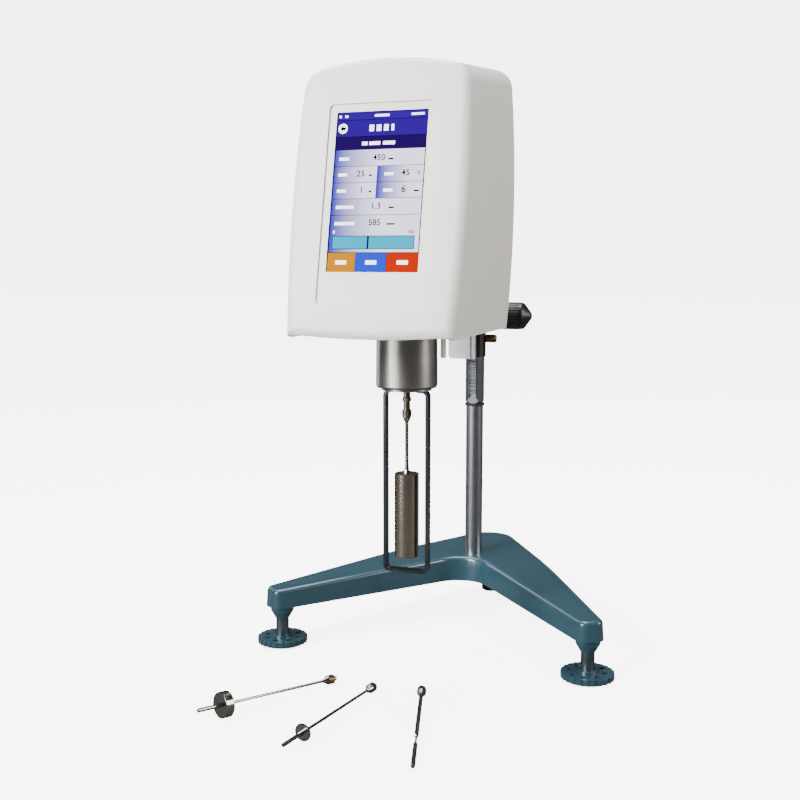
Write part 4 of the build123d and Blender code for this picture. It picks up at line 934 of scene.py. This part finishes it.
def room_world(backdrop):
    """A room that is white behind the object, dim in reflections and soft in the light it gives."""
    world = bpy.data.worlds.new("Pale room")
    world.use_nodes = True
    tree = world.node_tree
    colour = by_ray(tree, (backdrop, backdrop, backdrop, 1), ROOM_MIRRORED, ROOM_SCATTERED)
    tree.links.new(colour, tree.nodes["Background"].inputs["Color"])
    return world


def pale_paper(colour, backdrop):
    """The floor's paper, which meets the white background for the camera and stays dim in reflections."""
    paper = bpy.data.materials.new("Pale paper")
    paper.use_nodes = True
    tree = paper.node_tree
    shader = tree.nodes["Principled BSDF"]
    shader.inputs["Roughness"].default_value = 0.9
    shader.inputs["Specular IOR Level"].default_value = 0.1
    shader.inputs["Emission Color"].default_value = (1, 1, 1, 1)
    ray = tree.nodes.new("ShaderNodeLightPath")
    lift = tree.nodes.new("ShaderNodeMath")
    lift.operation = "MULTIPLY"
    lift.inputs[1].default_value = backdrop
    tree.links.new(ray.outputs["Is Camera Ray"], lift.inputs[0])
    tree.links.new(lift.outputs["Value"], shader.inputs["Emission Strength"])
    tree.links.new(by_ray(tree, colour, FLOOR_MIRRORED, FLOOR_SCATTERED), shader.inputs["Base Color"])
    return paper


class VISCOMETER_OT_studio(bpy.types.Operator):
    """Set the plain floor, the soft lights and the camera"""

    bl_idname = "viscometer.studio"
    bl_label = "Studio"

    def execute(self, context):
        settings = context.scene.viscometer_studio
        floor = bpy.data.meshes.new("floor")
        corners = [(x * FLOOR_REACH, y * FLOOR_REACH, 0) for x, y in ((-1, -1), (1, -1), (1, 1), (-1, 1))]
        floor.from_pydata(corners, [], [(0, 1, 2, 3)])
        floor.materials.append(pale_paper(settings.floor, settings.backdrop))
        ground = bpy.data.objects.new("floor", floor)
        context.scene.collection.objects.link(ground)
        for name, (place, aim, size, share, colour, spread) in LIGHTS.items():
            soft_light(name, place, aim, size, settings.key * share, colour, spread)
        context.scene.world = room_world(settings.backdrop)
        lens = bpy.data.cameras.new("camera")
        lens.sensor_width = CAMERA_SENSOR
        lens.lens = CAMERA_LENS
        lens.clip_start = 0.01
        view = bpy.data.objects.new("camera", lens)
        view.location = CAMERA_PLACE
        view.rotation_euler = (math.radians(CAMERA_TILT), 0, math.radians(CAMERA_TURN))
        context.scene.collection.objects.link(view)
        context.scene.camera = view
        return {"FINISHED"}


class VISCOMETER_PT_panel(bpy.types.Panel):
    """Lists the pieces of the viscometer in the sidebar"""

    bl_label = "Viscometer"
    bl_space_type = "VIEW_3D"
    bl_region_type = "UI"
    bl_category = "Viscometer"

    def draw(self, context):
        scene = context.scene
        for group, settings in SETTINGS.items():
            for name in settings.__annotations__:
                self.layout.prop(getattr(scene, group), name)
        for step in STEPS:
            self.layout.operator(step.bl_idname)


SETTINGS = {
    "viscometer_shell": ShellSettings, "viscometer_stand": StandSettings, "viscometer_drive": DriveSettings,
    "viscometer_screen": ScreenSettings, "viscometer_studio": StudioSettings,
}
STEPS = (
    VISCOMETER_OT_stand, VISCOMETER_OT_feet, VISCOMETER_OT_shell, VISCOMETER_OT_screen, VISCOMETER_OT_drive,
    VISCOMETER_OT_carriage, VISCOMETER_OT_rear, VISCOMETER_OT_works, VISCOMETER_OT_spares,
    VISCOMETER_OT_studio,
)


def register():
    for name, settings in SETTINGS.items():
        bpy.utils.register_class(settings)
        setattr(bpy.types.Scene, name, bpy.props.PointerProperty(type=settings))
    for step in STEPS:
        bpy.utils.register_class(step)
    bpy.utils.register_class(VISCOMETER_PT_panel)


def unregister():
    bpy.utils.unregister_class(VISCOMETER_PT_panel)
    for step in reversed(STEPS):
        bpy.utils.unregister_class(step)
    for name, settings in SETTINGS.items():
        delattr(bpy.types.Scene, name)
        bpy.utils.unregister_class(settings)


def main():
    register()
    for step in STEPS:
        getattr(bpy.ops.viscometer, step.bl_idname.split(".")[1])()


if __name__ == "__main__":
    main()
